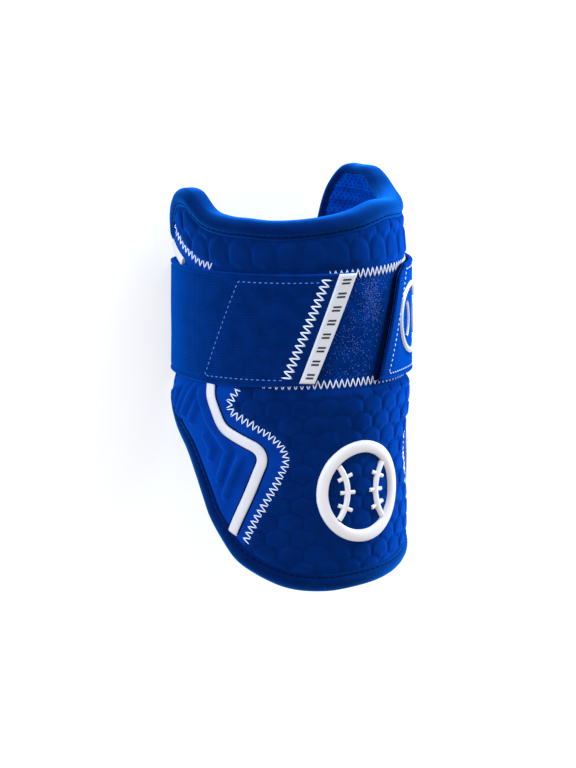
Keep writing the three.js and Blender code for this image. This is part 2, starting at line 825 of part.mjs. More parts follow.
// Flat strap pieces: x along the strap's middle line, y = height, z = offset outward
function strapPoint(x, y, z) {
  const found = pathLengths.findIndex((length) => length >= x - 1e-6);
  const i = Math.max(1, found < 0 ? path.length - 1 : found);
  const t = (x - pathLengths[i - 1]) / (pathLengths[i] - pathLengths[i - 1]);
  const middle = (k) => path[i - 1][k] + (path[i][k] - path[i - 1][k]) * t;
  const normal = (k) => pathNormals[i - 1][k] + (pathNormals[i][k] - pathNormals[i - 1][k]) * t;
  return lie(middle(0) + normal(0) * z * outward, middle(1) + normal(1) * z * outward, y);
}

function strapSheet(low, high, loop) {
  const sheet = bent(gridSheet(pathLengths, STRAP_BOTTOM, STRAP_TOP, low, high), [], strapPoint);
  const through = prism(loop, low - 1, high + 1);
  return sheet.intersect(bent(toGeometry(through), pathLengths, strapPoint));
}

// The strap's flat outline, with both ends slanted; it runs a little past the elastic's edges
function strapLoop(margin) {
  const start = pathAt(-4.3, -1);
  const startLow = pathAt(-26.8, -1);
  const end = pathLengths[pathLengths.length - 1];
  const corner = pathAt(cornerAngle, 1);
  const endHigh = pathAt(freeEndTopAngle, 1);
  const [low, high] = [STRAP_BOTTOM + margin, STRAP_TOP - margin];
  return [[startLow, low], [end - 0.1, low], [corner, STRAP_TOP - CORNER_CUT], [endHigh, high],
    [start, high]];
}

function strap() {
  return strapSheet(-STRAP_THICKNESS / 2, STRAP_THICKNESS / 2, strapLoop(-1));
}

function hookTab() {
  const [, low, corner, high] = strapLoop(0.6);
  const inner = pathAt(hookEndAngle, 1);
  const face = -STRAP_THICKNESS / 2 - GAP;
  const loop = [[inner, low[1]], [low[0] - 0.6, low[1]], [corner[0] - 0.6, corner[1]],
    [high[0] - 0.6, high[1]], [inner, high[1]]];
  return strapSheet(face - HOOK_THICKNESS, face, loop);
}

function strapLabel() {
  const low0 = STRAP_LOW + STRAP_THICKNESS + GAP;
  const loop = [[-33.6 * degree, STRAP_BOTTOM + 1.2], [-26.1 * degree, STRAP_BOTTOM + 0.8],
    [-4 * degree, STRAP_TOP - 0.4], [-13.5 * degree, STRAP_TOP - 0.2]];
  return rolled(prism(loop, low0, low0 + 0.8));
}

// Motifs
function arcLine(centreX, centreY, radius, from, to, count) {
  const line = [];
  for (let i = 0; i <= count; i += 1) {
    const angle = (from + (to - from) * i / count) * Math.PI / 180;
    line.push([centreX + radius * Math.cos(angle), centreY + radius * Math.sin(angle)]);
  }
  return line;
}

// Normals that point outward from a centre
function radialNormals(line, centreX, centreY) {
  return line.map(([x, y]) => {
    const size = Math.hypot(x - centreX, y - centreY);
    return [(x - centreX) / size, (y - centreY) / size];
  });
}

function frontEmblem() {
  const ringLine = arcLine(0, EMBLEM_HEIGHT, EMBLEM_RADIUS, 0, 340, 17);
  const half = EMBLEM_STROKE / 2;
  const section = [[-half, EMBLEM_BASE], [-half, EMBLEM_SIDE], [0, EMBLEM_CREST], [half, EMBLEM_SIDE],
    [half, EMBLEM_BASE]];
  const parts = [rolledBar(sweep(ringLine, radialNormals(ringLine, 0, EMBLEM_HEIGHT), section, true))];
  [-1, 1].forEach((side) => {
    const centre = side * SEAM_CENTRE;
    const seam = arcLine(0, EMBLEM_HEIGHT, SEAM_RADIUS, -SEAM_SPAN, SEAM_SPAN, 7)
      .map(([x, y]) => [centre - side * x, y]);
    parts.push(rolledBar(ridge(seam, SEAM_STROKE, EMBLEM_BASE, EMBLEM_SIDE, EMBLEM_CREST - 0.4)));
    for (let i = 0; i < TICKS; i += 1) {
      const angle = ((i + 0.5) / TICKS * 2 - 1) * SEAM_SPAN * 0.8 * Math.PI / 180;
      const tick = [-0.5, 0.5].map((share) => {
        const reach = SEAM_RADIUS + share * TICK_LENGTH;
        return [centre - side * reach * Math.cos(angle), EMBLEM_HEIGHT + reach * Math.sin(angle)];
      });
      parts.push(rolledBar(ridge(tick, TICK_WIDTH, EMBLEM_BASE, EMBLEM_SIDE - 0.2, EMBLEM_SIDE + 0.2)));
    }
  });
  return wasm.Manifold.union(parts);
}

function flapEmblem() {
  const outer = FLAP_EMBLEM_RADIUS;
  const inner = outer - FLAP_EMBLEM_STROKE;
  const low = STRAP_THICKNESS / 2 + GAP;
  const x = pathAt(FLAP_EMBLEM_ANGLE, 1);
  const y = STRAP_BOTTOM + STRAP_WIDTH / 2;
  const circle = (radius) => arcLine(x, y, radius, 0, 340, 17);
  const ring = prism(circle(outer), low, low + FLAP_EMBLEM_HEIGHT)
    .subtract(prism(circle(inner), low - 1, low + 2));
  const seams = [-1, 1].map((side) => {
    const line = arcLine(x + side * outer * 1.25, y, outer * 0.9, 130, 230, 5)
      .map(([px, py]) => (side > 0 ? [px, py] : [2 * (x + side * outer * 1.25) - px, py]));
    return ridge(line, 1.9, low, low + FLAP_EMBLEM_HEIGHT, low + FLAP_EMBLEM_HEIGHT);
  });
  const disc = prism(circle(outer - 0.5), low - 1, low + 3);
  const whole = ring.add(wasm.Manifold.union(seams).intersect(disc));
  return bent(toGeometry(whole), pathLengths, strapPoint);
}

// Assembly
const colours = {
  fabric: 0x0a2f8c,
  side: 0x0d4fc4,
  binding: 0x0b48cf,
  white: 0xe8e6e4,
  silver: 0xb9bcc4,
  strap: 0x0a2c84,
  liner: 0x0a2f8c,
};

const part = new THREE.Group();
part.name = 'elbow_guard';

function add(name, solid, colour) {
  const geometry = toGeometry(solid.simplify(CLEAN));
  geometry.computeVertexNormals();
  const material = new THREE.MeshStandardMaterial({ color: colour, roughness: 0.8 });
  const mesh = new THREE.Mesh(geometry, material);
  mesh.name = name;
  part.add(mesh);
}

const scales = scaleSheet();
add('padded_shell', paddedShell(), colours.fabric);
add('edge_binding', edgeBinding(), colours.binding);
add('liner', liner(), colours.liner);
add('front_panel_lower', frontPanel(-BEYOND, PATCH_BOTTOM - GAP, scales), colours.fabric);
add('front_panel_upper', frontPanel(PATCH_TOP + GAP, LENGTH + BEYOND, scales), colours.fabric);
add('loop_patch', loopPatch(), colours.fabric);
add('side_panel_left', sidePanel(-1), colours.side);
add('side_panel_right', sidePanel(1), colours.side);
add('stripe_left', stripe(stripeTable, 1), colours.white);
add('stripe_right', stripe(stripeTable, -1), colours.white);
add('stripe_left_upper', stripe(stripeUpperTable, 1), colours.white);
add('stripe_right_upper', stripe(stripeUpperTable, -1), colours.white);
add('strap', strap(), colours.strap);
add('hook_tab', hookTab(), colours.strap);
add('strap_label', strapLabel(), colours.white);
add('front_emblem', frontEmblem(), colours.white);
add('flap_emblem', flapEmblem(), colours.silver);

export default part;
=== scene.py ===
"""Baseball elbow guard: a padded cuff with moulded covers, a rolled edge tape and an elastic strap."""
import math

import bmesh
import bpy
import numpy as np
from mathutils import Matrix, Vector


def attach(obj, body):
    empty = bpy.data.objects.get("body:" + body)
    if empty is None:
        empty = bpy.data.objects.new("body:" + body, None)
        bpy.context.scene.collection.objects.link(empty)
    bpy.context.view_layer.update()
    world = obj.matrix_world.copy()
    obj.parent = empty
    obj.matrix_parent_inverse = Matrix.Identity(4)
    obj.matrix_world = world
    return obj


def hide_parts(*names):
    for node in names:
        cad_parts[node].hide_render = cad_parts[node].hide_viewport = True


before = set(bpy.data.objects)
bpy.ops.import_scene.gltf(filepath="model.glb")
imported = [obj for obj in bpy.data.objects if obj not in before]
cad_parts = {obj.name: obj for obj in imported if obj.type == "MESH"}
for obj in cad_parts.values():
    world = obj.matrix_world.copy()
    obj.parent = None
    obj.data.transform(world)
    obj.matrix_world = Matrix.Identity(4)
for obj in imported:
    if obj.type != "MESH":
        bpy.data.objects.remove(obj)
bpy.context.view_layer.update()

# Sizes of the guard, in millimetres and degrees, as in the part's source
LENGTH = 184.4
FACE_RADIUS = 53.0
STRAP_WIDTH = 50.8
STRAP_BOTTOM = 95.2
STRAP_TOP = STRAP_BOTTOM + STRAP_WIDTH
LEAN = 3.4                  # of the upper end, towards the left and the back
LEAN_LEFT = 0.8
LEAN_BACK = 0.6
BULGE = 1.2                 # of the face just below the strap
BULGE_START = STRAP_BOTTOM - 33
BULGE_FULL = STRAP_BOTTOM - 7
MM = 0.001
DEGREE = FACE_RADIUS * math.pi / 180

# Layers, as offsets from the outer face
PANEL_BOTTOM = -2.0
CORE_FACE = -2.3
CORE_BACK = -8.0
LINING_FACE = -8.9
LINING_VALLEY = -9.5
LINING_CREST = -10.9
SCALE_VALLEY = -0.8
SCALE_HEIGHT = 1.15
SIDE_FACE = -0.6
BAND_FACE = -1.15
SEAM_FACE = -0.85
UNDER_STRAP = -1.1
TUCKED = -1.7               # where a cover goes under the edge tape

# Insets of the layers from the outline
COVER_INSET = 5.2
PAD_INSET = 2.6
LINING_INSET = 3.0

# Fades between the layers, as pairs of distances
SEAM_FADE = (0.2, 3.2)      # from a seam
STRAP_FADE = (3.5, 0.8)     # beyond the strap's edges
TUCK_FADE = (-1.6, 2.2)     # about the edge tape's inner line
MOTIF_FADE = (2.6, 5.0)     # from the front motif's ring
MIDDLE_FADE = (14, 36)      # degrees from the middle of the front
LINING_FADE = (3.4, 6.2)    # from the outline

# Edge tape
TAPE_WIDTH = 8.6
TAPE_PRESSED = -1.25
TAPE_PRESS = (14, 6)        # beyond the strap's edges
TAPE_STEP = 1.2
PUCKER_HEIGHT = 0.1
PUCKER_PITCH = 3.2
TAPE_SAG = 0.18
TAPE_SEAM = 6.95            # rows of stitches, across from the outline
TAPE_SEAM_LEVEL = -0.32
TAPE_SEAM_INSIDE = 3.6
TAPE_SEAM_LEVEL_INSIDE = -10.45

# Relief
SCALE_WIDTH = 11.6
SCALE_ROW = 7.4
SCALE_ARC = 3.6             # height of a scale's round top
SCALE_GROOVE = 2.0
SCALE_MEAN = 0.55           # share of the height about which the scales are made flatter
FLATTER_AT_MOTIF = 0.7
FLATTER_IN_MIDDLE = 0.45
UPPER_SHORTENING = 0.6      # the scales above the strap are longer by one over this
RIB_HALF = 3.0
RIB_CREST_HALF = 0.5
RIB_HEIGHT = 2.4
LINING_RIB = 6.0
SOFT_LUMP = 0.25
SOFT_LUMP_SIZE = 17.0
FUZZ_HEIGHT = 0.05          # of the loop fabric
FUZZ_SIZE = 2.2

# Strap
STRAP_THICKNESS = 1.8
STRAP_LOW = -0.8
HOOK_STEP = 1.5             # how far the free end lies higher, on its hook fabric
HOOK_END = 76.0
HOOK_FADE = 92.0
CHORD_DEPTH = 35.5
CORNER_RADIUS = 8.0
SEWN_LINE = -3.0            # where the strap's middle line starts
SEWN_LOW = -26.8            # the slanted sewn end at the strap's lower and upper edge
SEWN_HIGH = -4.3
FREE_END = 5.6
CORNER_ANGLE = 25.0         # where the free end's upper corner is cut off
FREE_END_TOP = 33.0
CORNER_CUT = 4.6            # height of that cut
FREE_END_LIFT = 2.2
LIFT_START = 34.0
EDGE_SAG = 1.3              # of the strap's lower edge, at the left
SAG_ANGLE = -72.0
SAG_REACH = 26.0
WAVE_HEIGHT = 0.12
WAVE_SIZE = 14.0
SELVEDGE_RIDGE = (0.2, 1.0, 0.6)      # height, distance from the edge and reach
SELVEDGE_GROOVE = (0.28, 2.4, 0.45)
FLOOR_SIDE = CHORD_DEPTH + STRAP_THICKNESS / 2

# Band of loop fabric
BAND_LEFT = -45.0 * DEGREE
BAND_RIGHT = 84.0 * DEGREE
BAND_LOW = STRAP_BOTTOM - 1.9
BAND_HIGH = STRAP_TOP + 1.1
BAND_SEAMS = [(-52, BAND_LOW + 1.9), (-17, BAND_HIGH - 2.2)]  # where each starts, and its height
WORN_SPOTS = [(1.0, 7, 38, 5, 9), (0.3, -6, 17, 4, 7)]  # share, across, height on the strap, reaches

# Lines of stitches on the strap: angle, height
SEWN_SEAM = [(-20.1, 143.2), (-39.6, 98.9)]
BOX_SEAM = [(-24.5, 142.2), (-63.8, 142.2), (-83.4, 97.8), (-42.5, 97.8)]
FLAP_SEAM = [(72, 98.2), (13.5, 98.2), (34.2, 143.4), (72, 143.4)]

# Corners of the label, from the lower left one: angle, height
LABEL = [(-33.6, STRAP_BOTTOM + 1.2), (-26.1, STRAP_BOTTOM + 0.8), (-4, STRAP_TOP - 0.4),
         (-13.5, STRAP_TOP - 0.2)]
LABEL_ACROSS = 7.2          # its width and its length up the strap, for its round rim
LABEL_UP = 52.0
LABEL_BASE = 1.2
LABEL_FACE = 2.1
MARK_PAIRS = 8
MARK_HEIGHT = 0.12
MARK_ENDS = (0.26, 0.74)    # shares of the label's width
MARK_HALF = 0.009           # shares of its height
MARK_SHIFT = 0.016
MARK_MARGIN = 0.07

# The guard's outline, anticlockwise from the middle of the lower edge: angle, share of the length
OUTLINE = [
    (-20, 0), (0, 0.007), (22, 0.021), (40, 0.041), (52, 0.057), (60, 0.07), (69, 0.1), (76, 0.138),
    (84, 0.187), (88, 0.225), (94, 0.276), (102, 0.329), (113, 0.371), (121.5, 0.422), (126.5, 0.493),
    (128, 0.596), (128, 0.715), (127.5, 0.802), (124, 0.867), (116, 0.946), (104, 0.997), (94, 1),
    (84, 1), (77, 0.985), (68, 0.962), (48, 0.947), (21, 0.954), (0, 0.938), (-20, 0.927), (-45, 0.921),
    (-59, 0.925), (-70, 0.927), (-82, 0.938), (-95, 0.98), (-106, 0.98), (-116, 0.948), (-124, 0.902),
    (-128, 0.835), (-128, 0.715), (-128, 0.596), (-126.5, 0.49), (-121.5, 0.42), (-113, 0.371),
    (-102, 0.328), (-94, 0.272), (-88, 0.217), (-84, 0.178), (-76, 0.125), (-68, 0.079), (-59, 0.05),
    (-40, 0.011),
]

# Front edge of the left side panel below and above the strap
SIDE_EDGE_BELOW = [
    (-64, 0.5), (-67, 0.481), (-68.6, 0.463), (-66.7, 0.444), (-62.5, 0.432), (-56, 0.415), (-50, 0.399),
    (-46, 0.385), (-42.3, 0.367), (-39.9, 0.344), (-39.5, 0.329), (-40.9, 0.307), (-48.6, 0.235),
    (-55.7, 0.175), (-60.2, 0.127), (-66, 0.059),
]
SIDE_EDGE_ABOVE = [
    (-120, 0.895), (-111.5, 0.885), (-111, 0.867), (-107, 0.855), (-102.4, 0.839), (-95.7, 0.824),
    (-89, 0.809), (-81, 0.802),
]

# Middle line of the white stripe on the left side panel, and of its short piece above the strap
STRIPE = [
    (-80.8, 0.515), (-79.4, 0.477), (-76.7, 0.443), (-73.8, 0.413), (-71, 0.399), (-66.2, 0.386),
    (-59.2, 0.37), (-54.8, 0.359), (-52.4, 0.345), (-51.9, 0.327), (-54.2, 0.296), (-58.5, 0.244),
    (-65.8, 0.167), (-69.2, 0.128),
]
STRIPE_UPPER = [(-120, 0.84), (-115, 0.826), (-110, 0.812), (-104, 0.797)]
STRIPE_WIDTH = 5.1
STRIPE_LEVELS = (-1.0, 0.55)            # base and crest
STRIPE_EDGE_WIDTH = STRIPE_WIDTH + 2.2  # of the dark edge under the stripe
STRIPE_EDGE_LEVELS = (-1.9, -0.05)

# Moulded ribs of the left side panel
RIBS = [
    [(-118, 0.43), (-112, 0.471)],
    [(-114, 0.42), (-105.5, 0.479)],
    [(-109, 0.414), (-97, 0.492)],
    [(-101.5, 0.427), (-91, 0.497)],
    [(-95, 0.414), (-89.2, 0.456)],
    [(-86.6, 0.49), (-83.5, 0.446), (-81, 0.417), (-76, 0.388), (-69.5, 0.348), (-75, 0.277)],
    [(-84, 0.378), (-79.5, 0.348), (-81, 0.329)],
    [(-63.5, 0.329), (-71.5, 0.238)],
]

# Front motif
EMBLEM_HEIGHT = 45.4
EMBLEM_RADIUS = 20.4
EMBLEM_STROKE = 5.6
EMBLEM_BASE = -0.6
EMBLEM_CREST = 1.7
SEAM_RADIUS = 19.0
SEAM_CENTRE = 27.0
SEAM_SPAN = 40.0
SEAM_STROKE = 2.8
SEAM_CREST = EMBLEM_CREST - 0.35
TICKS = 3
TICK_SPREAD = 0.8           # share of the seam that carries ticks
TICK_LENGTH = 7.4
TICK_WIDTH = 1.9
TICK_CREST = EMBLEM_CREST - 0.7

# Motif on the strap's free end
FLAP_EMBLEM_ANGLE = 42.0
FLAP_RING_RADIUS = 15.2
FLAP_RING_STROKE = 2.6
FLAP_SEAM_RADIUS = 12.5
FLAP_SEAM_CENTRE = 17.5
FLAP_SEAM_SPAN = 39.0
FLAP_SEAM_STROKE = 1.8

# Camera, floor and light
VIEW_TOWARDS = Vector((-0.153, -0.6085, 0.7787))
VIEW_UP = Vector((-0.988, 0.094, -0.121))
VIEW_RIGHT = Vector((0.0, 0.788, 0.616))
LOOK_AT = Vector((0.0014, 0.0003, 0.036))
VIEW_HEIGHT = 0.3491
VIEW_DISTANCE = 8.0
SENSOR = 36.0
LIGHT_DISTANCE = 1.2
LIGHT_COLOUR = (0.5, 0.68, 1)
LIGHTS = [                  # name, direction, size, power
    ("right_side", (-0.25, 1.0, 0.16), 0.35, 19),
    ("left_side", (-0.45, -1.0, 0.1), 0.35, 10),
    ("upper_end", (-1.0, 0.35, 0.3), 0.5, 14),
]
WORLD_STRENGTH = 0.82
FLOOR_REACH = 3.0
FLOOR_GREY = 0.36
FLOOR_GLOW = 0.72


def linked(name, data):
    """A new object in the scene."""
    thing = bpy.data.objects.new(name, data)
    bpy.context.scene.collection.objects.link(thing)
    return thing


def make_camera():
    data = bpy.data.cameras.new("camera")
    data.sensor_width = SENSOR
    data.lens = SENSOR * VIEW_DISTANCE / VIEW_HEIGHT
    data.clip_start = 0.5
    data.clip_end = 20
    camera = linked("camera", data)
    rotation = Matrix((VIEW_RIGHT, VIEW_UP, VIEW_TOWARDS)).transposed()
    camera.matrix_world = Matrix.Translation(LOOK_AT + VIEW_TOWARDS * VIEW_DISTANCE) @ rotation.to_4x4()
    bpy.context.scene.camera = camera


def area_light(name, direction, size, power):
    """A round softbox that looks at the guard from a direction."""
    data = bpy.data.lights.new(name, "AREA")
    data.shape = "DISK"
    data.size = size
    data.energy = power
    data.color = LIGHT_COLOUR
    light = linked(name, data)
    direction = Vector(direction).normalized()
    light.location = LOOK_AT + direction * LIGHT_DISTANCE
    light.rotation_mode = "QUATERNION"
    light.rotation_quaternion = (-direction).to_track_quat("-Z", "Y")
    light.visible_camera = False


def linear(red, green, blue):
    """A colour given in display values from 0 to 255, as linear light."""
    values = [v / 255 for v in (red, green, blue)]
    return [v / 12.92 if v <= 0.04045 else ((v + 0.055) / 1.055) ** 2.4 for v in values] + [1.0]


# Materials
def new_material(name, colour, roughness, **extra):
    """A principled material; extra holds its other sockets, with _ for each space."""
    material = bpy.data.materials.new(name)
    material.use_nodes = True
    shader = material.node_tree.nodes["Principled BSDF"]
    shader.inputs["Base Color"].default_value = colour
    shader.inputs["Roughness"].default_value = roughness
    for socket, value in extra.items():
        shader.inputs[socket.replace("_", " ")].default_value = value
    return material


def cloth(name, colour, roughness, sheen, tint, sheen_roughness=0.5):
    """A material without gloss, with a coloured sheen."""
    return new_material(name, colour, roughness, Sheen_Weight=sheen, Sheen_Roughness=sheen_roughness,
                        Sheen_Tint=tint, Specular_IOR_Level=0.0)


class Graph:
    """Short ways to add nodes to a tree."""

    def __init__(self, tree):
        self.nodes = tree.nodes
        self.links = tree.links
        self.shader = tree.nodes.get("Principled BSDF")

    def add(self, kind, inputs=None, **settings):
        node = self.nodes.new(kind)
        for key, value in settings.items():
            setattr(node, key, value)
        for key, value in (inputs or {}).items():
            if isinstance(value, bpy.types.NodeSocket):
                self.links.new(value, node.inputs[key])
            else:
                node.inputs[key].default_value = value
        return node

    def maths(self, operation, *values):
        inputs = {i: v for i, v in enumerate(values)}
        return self.add("ShaderNodeMath", inputs, operation=operation).outputs[0]

    def flat(self):
        """Flat coordinates in metres, from the piece's UV map."""
        node = self.add("ShaderNodeUVMap", uv_map="flat")
        parts = self.add("ShaderNodeSeparateXYZ", {0: node.outputs[0]})
        return node.outputs[0], parts.outputs[0], parts.outputs[1]

    def wave(self, value, pitch):
        """A sine wave along a flat coordinate, with its pitch in millimetres."""
        return self.maths("SINE", self.maths("MULTIPLY", value, 2 * math.pi / (pitch * MM)))

    def noise(self, coordinates, size, detail=3.0):
        """Noise with lumps of about that size, in millimetres."""
        inputs = {"Vector": coordinates, "Scale": 1 / (size * MM), "Detail": detail}
        node = self.add("ShaderNodeTexNoise", inputs)
        return node.outputs["Fac"]

    def ramp(self, value, dark, light, start=0.3, end=0.7):
        """A colour from dark to light, as the value goes from start to end."""
        node = self.add("ShaderNodeValToRGB", {0: value})
        for element, position, colour in zip(node.color_ramp.elements, (start, end), (dark, light)):
            element.position = position
            element.color = colour
        return node.outputs[0]

    def colour(self, socket):
        self.links.new(socket, self.shader.inputs["Base Color"])

    def roughness(self, socket):
        self.links.new(socket, self.shader.inputs["Roughness"])

    def bump(self, height, distance, strength=1.0, under=None):
        """Adds a bump; distance is its depth in millimetres."""
        inputs = {"Height": height, "Distance": distance * MM, "Strength": strength}
        if under is not None:
            inputs["Normal"] = under
        node = self.add("ShaderNodeBump", inputs)
        self.links.new(node.outputs[0], self.shader.inputs["Normal"])
        return node.outputs[0]


def knitted(name, dark, light, pitch, depth, roughness, sheen, tint):
    """Knitted cloth: a fine grid of loops, with soft tone changes."""
    material = cloth(name, dark, roughness, sheen, tint)
    graph = Graph(material.node_tree)
    uv, along, up = graph.flat()
    loops = graph.maths("MULTIPLY", graph.wave(along, pitch), graph.wave(up, pitch * 1.25))
    tone = graph.noise(uv, size=9.0, detail=4.0)
    fine = graph.noise(uv, size=0.7)
    mixed = graph.maths("ADD", tone, graph.maths("MULTIPLY", graph.maths("SUBTRACT", fine, 0.5), 0.5))
    graph.colour(graph.ramp(mixed, dark, light, end=0.72))
    first = graph.bump(loops, depth, strength=0.6)
    graph.bump(fine, depth, strength=0.35, under=first)
    return material


def woven_elastic():
    """Elastic webbing: ribs along its length, crossed by fine threads, with painted shade in their grooves.
    """
    dark = linear(2, 24, 70)
    light = linear(4, 33, 90)
    material = cloth("elastic_webbing", dark, 0.55, sheen=1.0, tint=linear(0, 110, 240))
    graph = Graph(material.node_tree)
    uv, along, up = graph.flat()
    ribs = graph.wave(up, pitch=1.25)
    threads = graph.wave(along, pitch=0.95)
    height = graph.maths("ADD", graph.maths("MULTIPLY", ribs, 0.6), graph.maths("MULTIPLY", threads, 0.4))
    # The tone follows the weave's height as well: painted shade, darker in the grooves and lighter on the
    # crests, over random tone.
    tone = graph.maths("MULTIPLY_ADD", height, 0.16, graph.noise(uv, size=7.0))
    graph.colour(graph.ramp(tone, dark, light))
    graph.bump(height, 0.12, strength=0.8)
    return material


def loop_cloth():
    """Fuzzy loop fabric: a mat of tangled fibres with pale tips."""
    dark = linear(1, 24, 74)
    light = linear(4, 44, 118)
    material = cloth("loop_cloth", dark, 0.8, sheen=0.6, tint=linear(14, 110, 230))
    graph = Graph(material.node_tree)
    uv = graph.flat()[0]
    mat = graph.noise(uv, size=0.8, detail=6.0)
    worn = graph.noise(uv, size=8.0)
    tone = graph.maths("MULTIPLY_ADD", mat, 0.6, graph.maths("MULTIPLY", worn, 0.6))
    graph.colour(graph.ramp(tone, dark, light, start=0.42, end=0.78))
    graph.bump(mat, 0.35, strength=0.9)
    return material


def lining_cloth():
    """Air mesh: a blue knit with rows of pinholes, painted dark as shade in the holes."""
    blue = linear(3, 66, 165)
    deep = linear(1, 48, 128)
    pinhole_shade = linear(0, 10, 42)
    material = cloth("lining_cloth", blue, 0.6, sheen=0.5, tint=linear(0, 110, 240), sheen_roughness=0.4)
    graph = Graph(material.node_tree)
    uv, along, up = graph.flat()
    grid = graph.maths("MULTIPLY", graph.wave(along, pitch=3.4), graph.wave(up, pitch=3.0))
    pinholes = graph.maths("GREATER_THAN", grid, 0.72)
    base = graph.ramp(graph.noise(uv, size=6.0), deep, blue)
    # The pinholes are painted near black: painted shade in holes that are not cut.
    mix = graph.add("ShaderNodeMix", {"Factor": pinholes}, data_type="RGBA")
    under, over = [socket for socket in mix.inputs if socket.type == "RGBA"]
    graph.links.new(base, under)
    over.default_value = pinhole_shade
    graph.colour([socket for socket in mix.outputs if socket.type == "RGBA"][0])
    first = graph.bump(graph.maths("MULTIPLY", pinholes, -1.0), 0.5, strength=0.8)
    knit = graph.maths("MULTIPLY", graph.wave(along, pitch=0.9), graph.wave(up, pitch=0.9))
    graph.bump(knit, 0.1, strength=0.5, under=first)
    return material


def plain_surface(name, colour, roughness, grain, depth, variation=0.06, **extra):
    """A moulded, printed or thread surface on Object coordinates, with grain and slight tone changes."""
    material = new_material(name, colour, roughness, **extra)
    graph = Graph(material.node_tree)
    place = graph.add("ShaderNodeTexCoord").outputs["Object"]
    tone = graph.noise(place, size=11.0)
    low = [v * (1 - variation * 2) for v in colour[:3]] + [1.0]
    high = [min(1.0, v * (1 + variation)) for v in colour[:3]] + [1.0]
    graph.colour(graph.ramp(tone, low, high))
    fine = graph.noise(place, grain)
    graph.roughness(graph.maths("MULTIPLY_ADD", fine, 0.2, roughness - 0.1))
    graph.bump(fine, depth, strength=0.5)
    return material


# Flat drawing
def ease(value, start, end):
    t = np.clip((value - start) / (end - start), 0, 1)
    return t * t * (3 - 2 * t)


def hill(value, middle, reach):
    return np.exp(-((value - middle) / reach) ** 2)


def rounded_off(value, least=0.0):
    """A quarter round, from least at 0 to 1 at 1."""
    return np.sqrt(np.clip(1 - (1 - np.clip(value, 0, 1)) ** 2, least, 1))


def near_strap(y, far, close):
    """1 under the strap, and 0 from the distance far beyond its edges."""
    return ease(y, STRAP_BOTTOM - far, STRAP_BOTTOM - close) * ease(-y, -STRAP_TOP - far, -STRAP_TOP - close)


def placed(table):
    return np.array([(angle * DEGREE, share * LENGTH) for angle, share in table], dtype=float)


def mirrored(points):
    return (points * np.array([-1.0, 1.0]))[::-1]


def smooth_curve(points, closed, per_span=16):
    """A smooth centripetal curve through the points."""
    before_first, after_last = 2 * points[:1] - points[1:2], 2 * points[-1:] - points[-2:-1]
    if closed:
        before_first, after_last = points[-1:], points[:2]
    points = np.vstack([before_first, points, after_last])
    made = []
    for before, start, end, after in zip(points, points[1:], points[2:], points[3:]):
        d0, d1, d2 = (max(np.linalg.norm(b - a) ** 0.5, 1e-4)
                      for a, b in ((before, start), (start, end), (end, after)))
        leave = ((start - before) / d0 - (end - before) / (d0 + d1) + (end - start) / d1) * d1
        arrive = ((end - start) / d1 - (after - start) / (d1 + d2) + (after - end) / d2) * d1
        for k in range(per_span):
            t = k / per_span
            made.append((2 * t ** 3 - 3 * t ** 2 + 1) * start + (t ** 3 - 2 * t ** 2 + t) * leave
                        + (3 * t ** 2 - 2 * t ** 3) * end + (t ** 3 - t ** 2) * arrive)
    if not closed:
        made.append(points[-2])
    return np.array(made)


def evenly(points, step, closed):
    """The same line with points an even step apart."""
    line = np.vstack([points, points[:1]]) if closed else points
    lengths = np.concatenate([[0], np.cumsum(np.linalg.norm(np.diff(line, axis=0), axis=1))])
    count = max(2, int(round(lengths[-1] / step)) + 1)
    wanted = np.linspace(0, lengths[-1], count)
    made = np.stack([np.interp(wanted, lengths, line[:, k]) for k in range(line.shape[1])], axis=1)
    return made[:-1] if closed else made


def line_normals(line, closed):
    """Left-hand normals of a flat line."""
    if closed:
        along = np.roll(line, -1, axis=0) - np.roll(line, 1, axis=0)
    else:
        along = np.gradient(line, axis=0)
    normals = np.stack([-along[:, 1], along[:, 0]], axis=1)
    return normals / np.linalg.norm(normals, axis=1)[:, None]


def line_distance(x, y, line, closed):
    """How far flat points are from a line."""
    ends = np.roll(line, -1, axis=0) if closed else line[1:]
    starts = line if closed else line[:-1]
    best = np.full(x.shape, 1e9)
    for (ax, ay), (bx, by) in zip(starts, ends):
        ex, ey = bx - ax, by - ay
        t = np.clip(((x - ax) * ex + (y - ay) * ey) / max(ex * ex + ey * ey, 1e-9), 0, 1)
        best = np.minimum(best, np.hypot(x - ax - t * ex, y - ay - t * ey))
    return best


def inside_distance(x, y, loop):
    """Distance to a closed loop, positive inside."""
    within = np.zeros(x.shape, dtype=bool)
    for (ax, ay), (bx, by) in zip(loop, np.roll(loop, -1, axis=0)):
        crosses = (ay > y) != (by > y)
        span = by - ay if by != ay else 1e-9
        within ^= crosses & (x < (bx - ax) * (y - ay) / span + ax)
    return np.where(within, 1, -1) * line_distance(x, y, loop, True)


def soft_noise(x, y, size, seed):
    """Smooth noise from -1 to 1 with lumps of that size in millimetres."""
    grid = np.random.default_rng(seed).uniform(-1, 1, (64, 64))
    u, v = x / size + 1000, y / size + 1000
    i, j = np.floor(u).astype(int), np.floor(v).astype(int)
    s, t = ease(u - i, 0, 1), ease(v - j, 0, 1)
    rows = [grid[(i + a) % 64, (j + b) % 64] for a in (0, 1) for b in (0, 1)]
    return (rows[0] * (1 - t) + rows[1] * t) * (1 - s) + (rows[2] * (1 - t) + rows[3] * t) * s


# Rolling round the arm
def lie(x, y, z):
    """From the worn position to the lying one, in metres."""
    return np.stack([LENGTH / 2 - z, x, FLOOR_SIDE - y], axis=-1) * MM


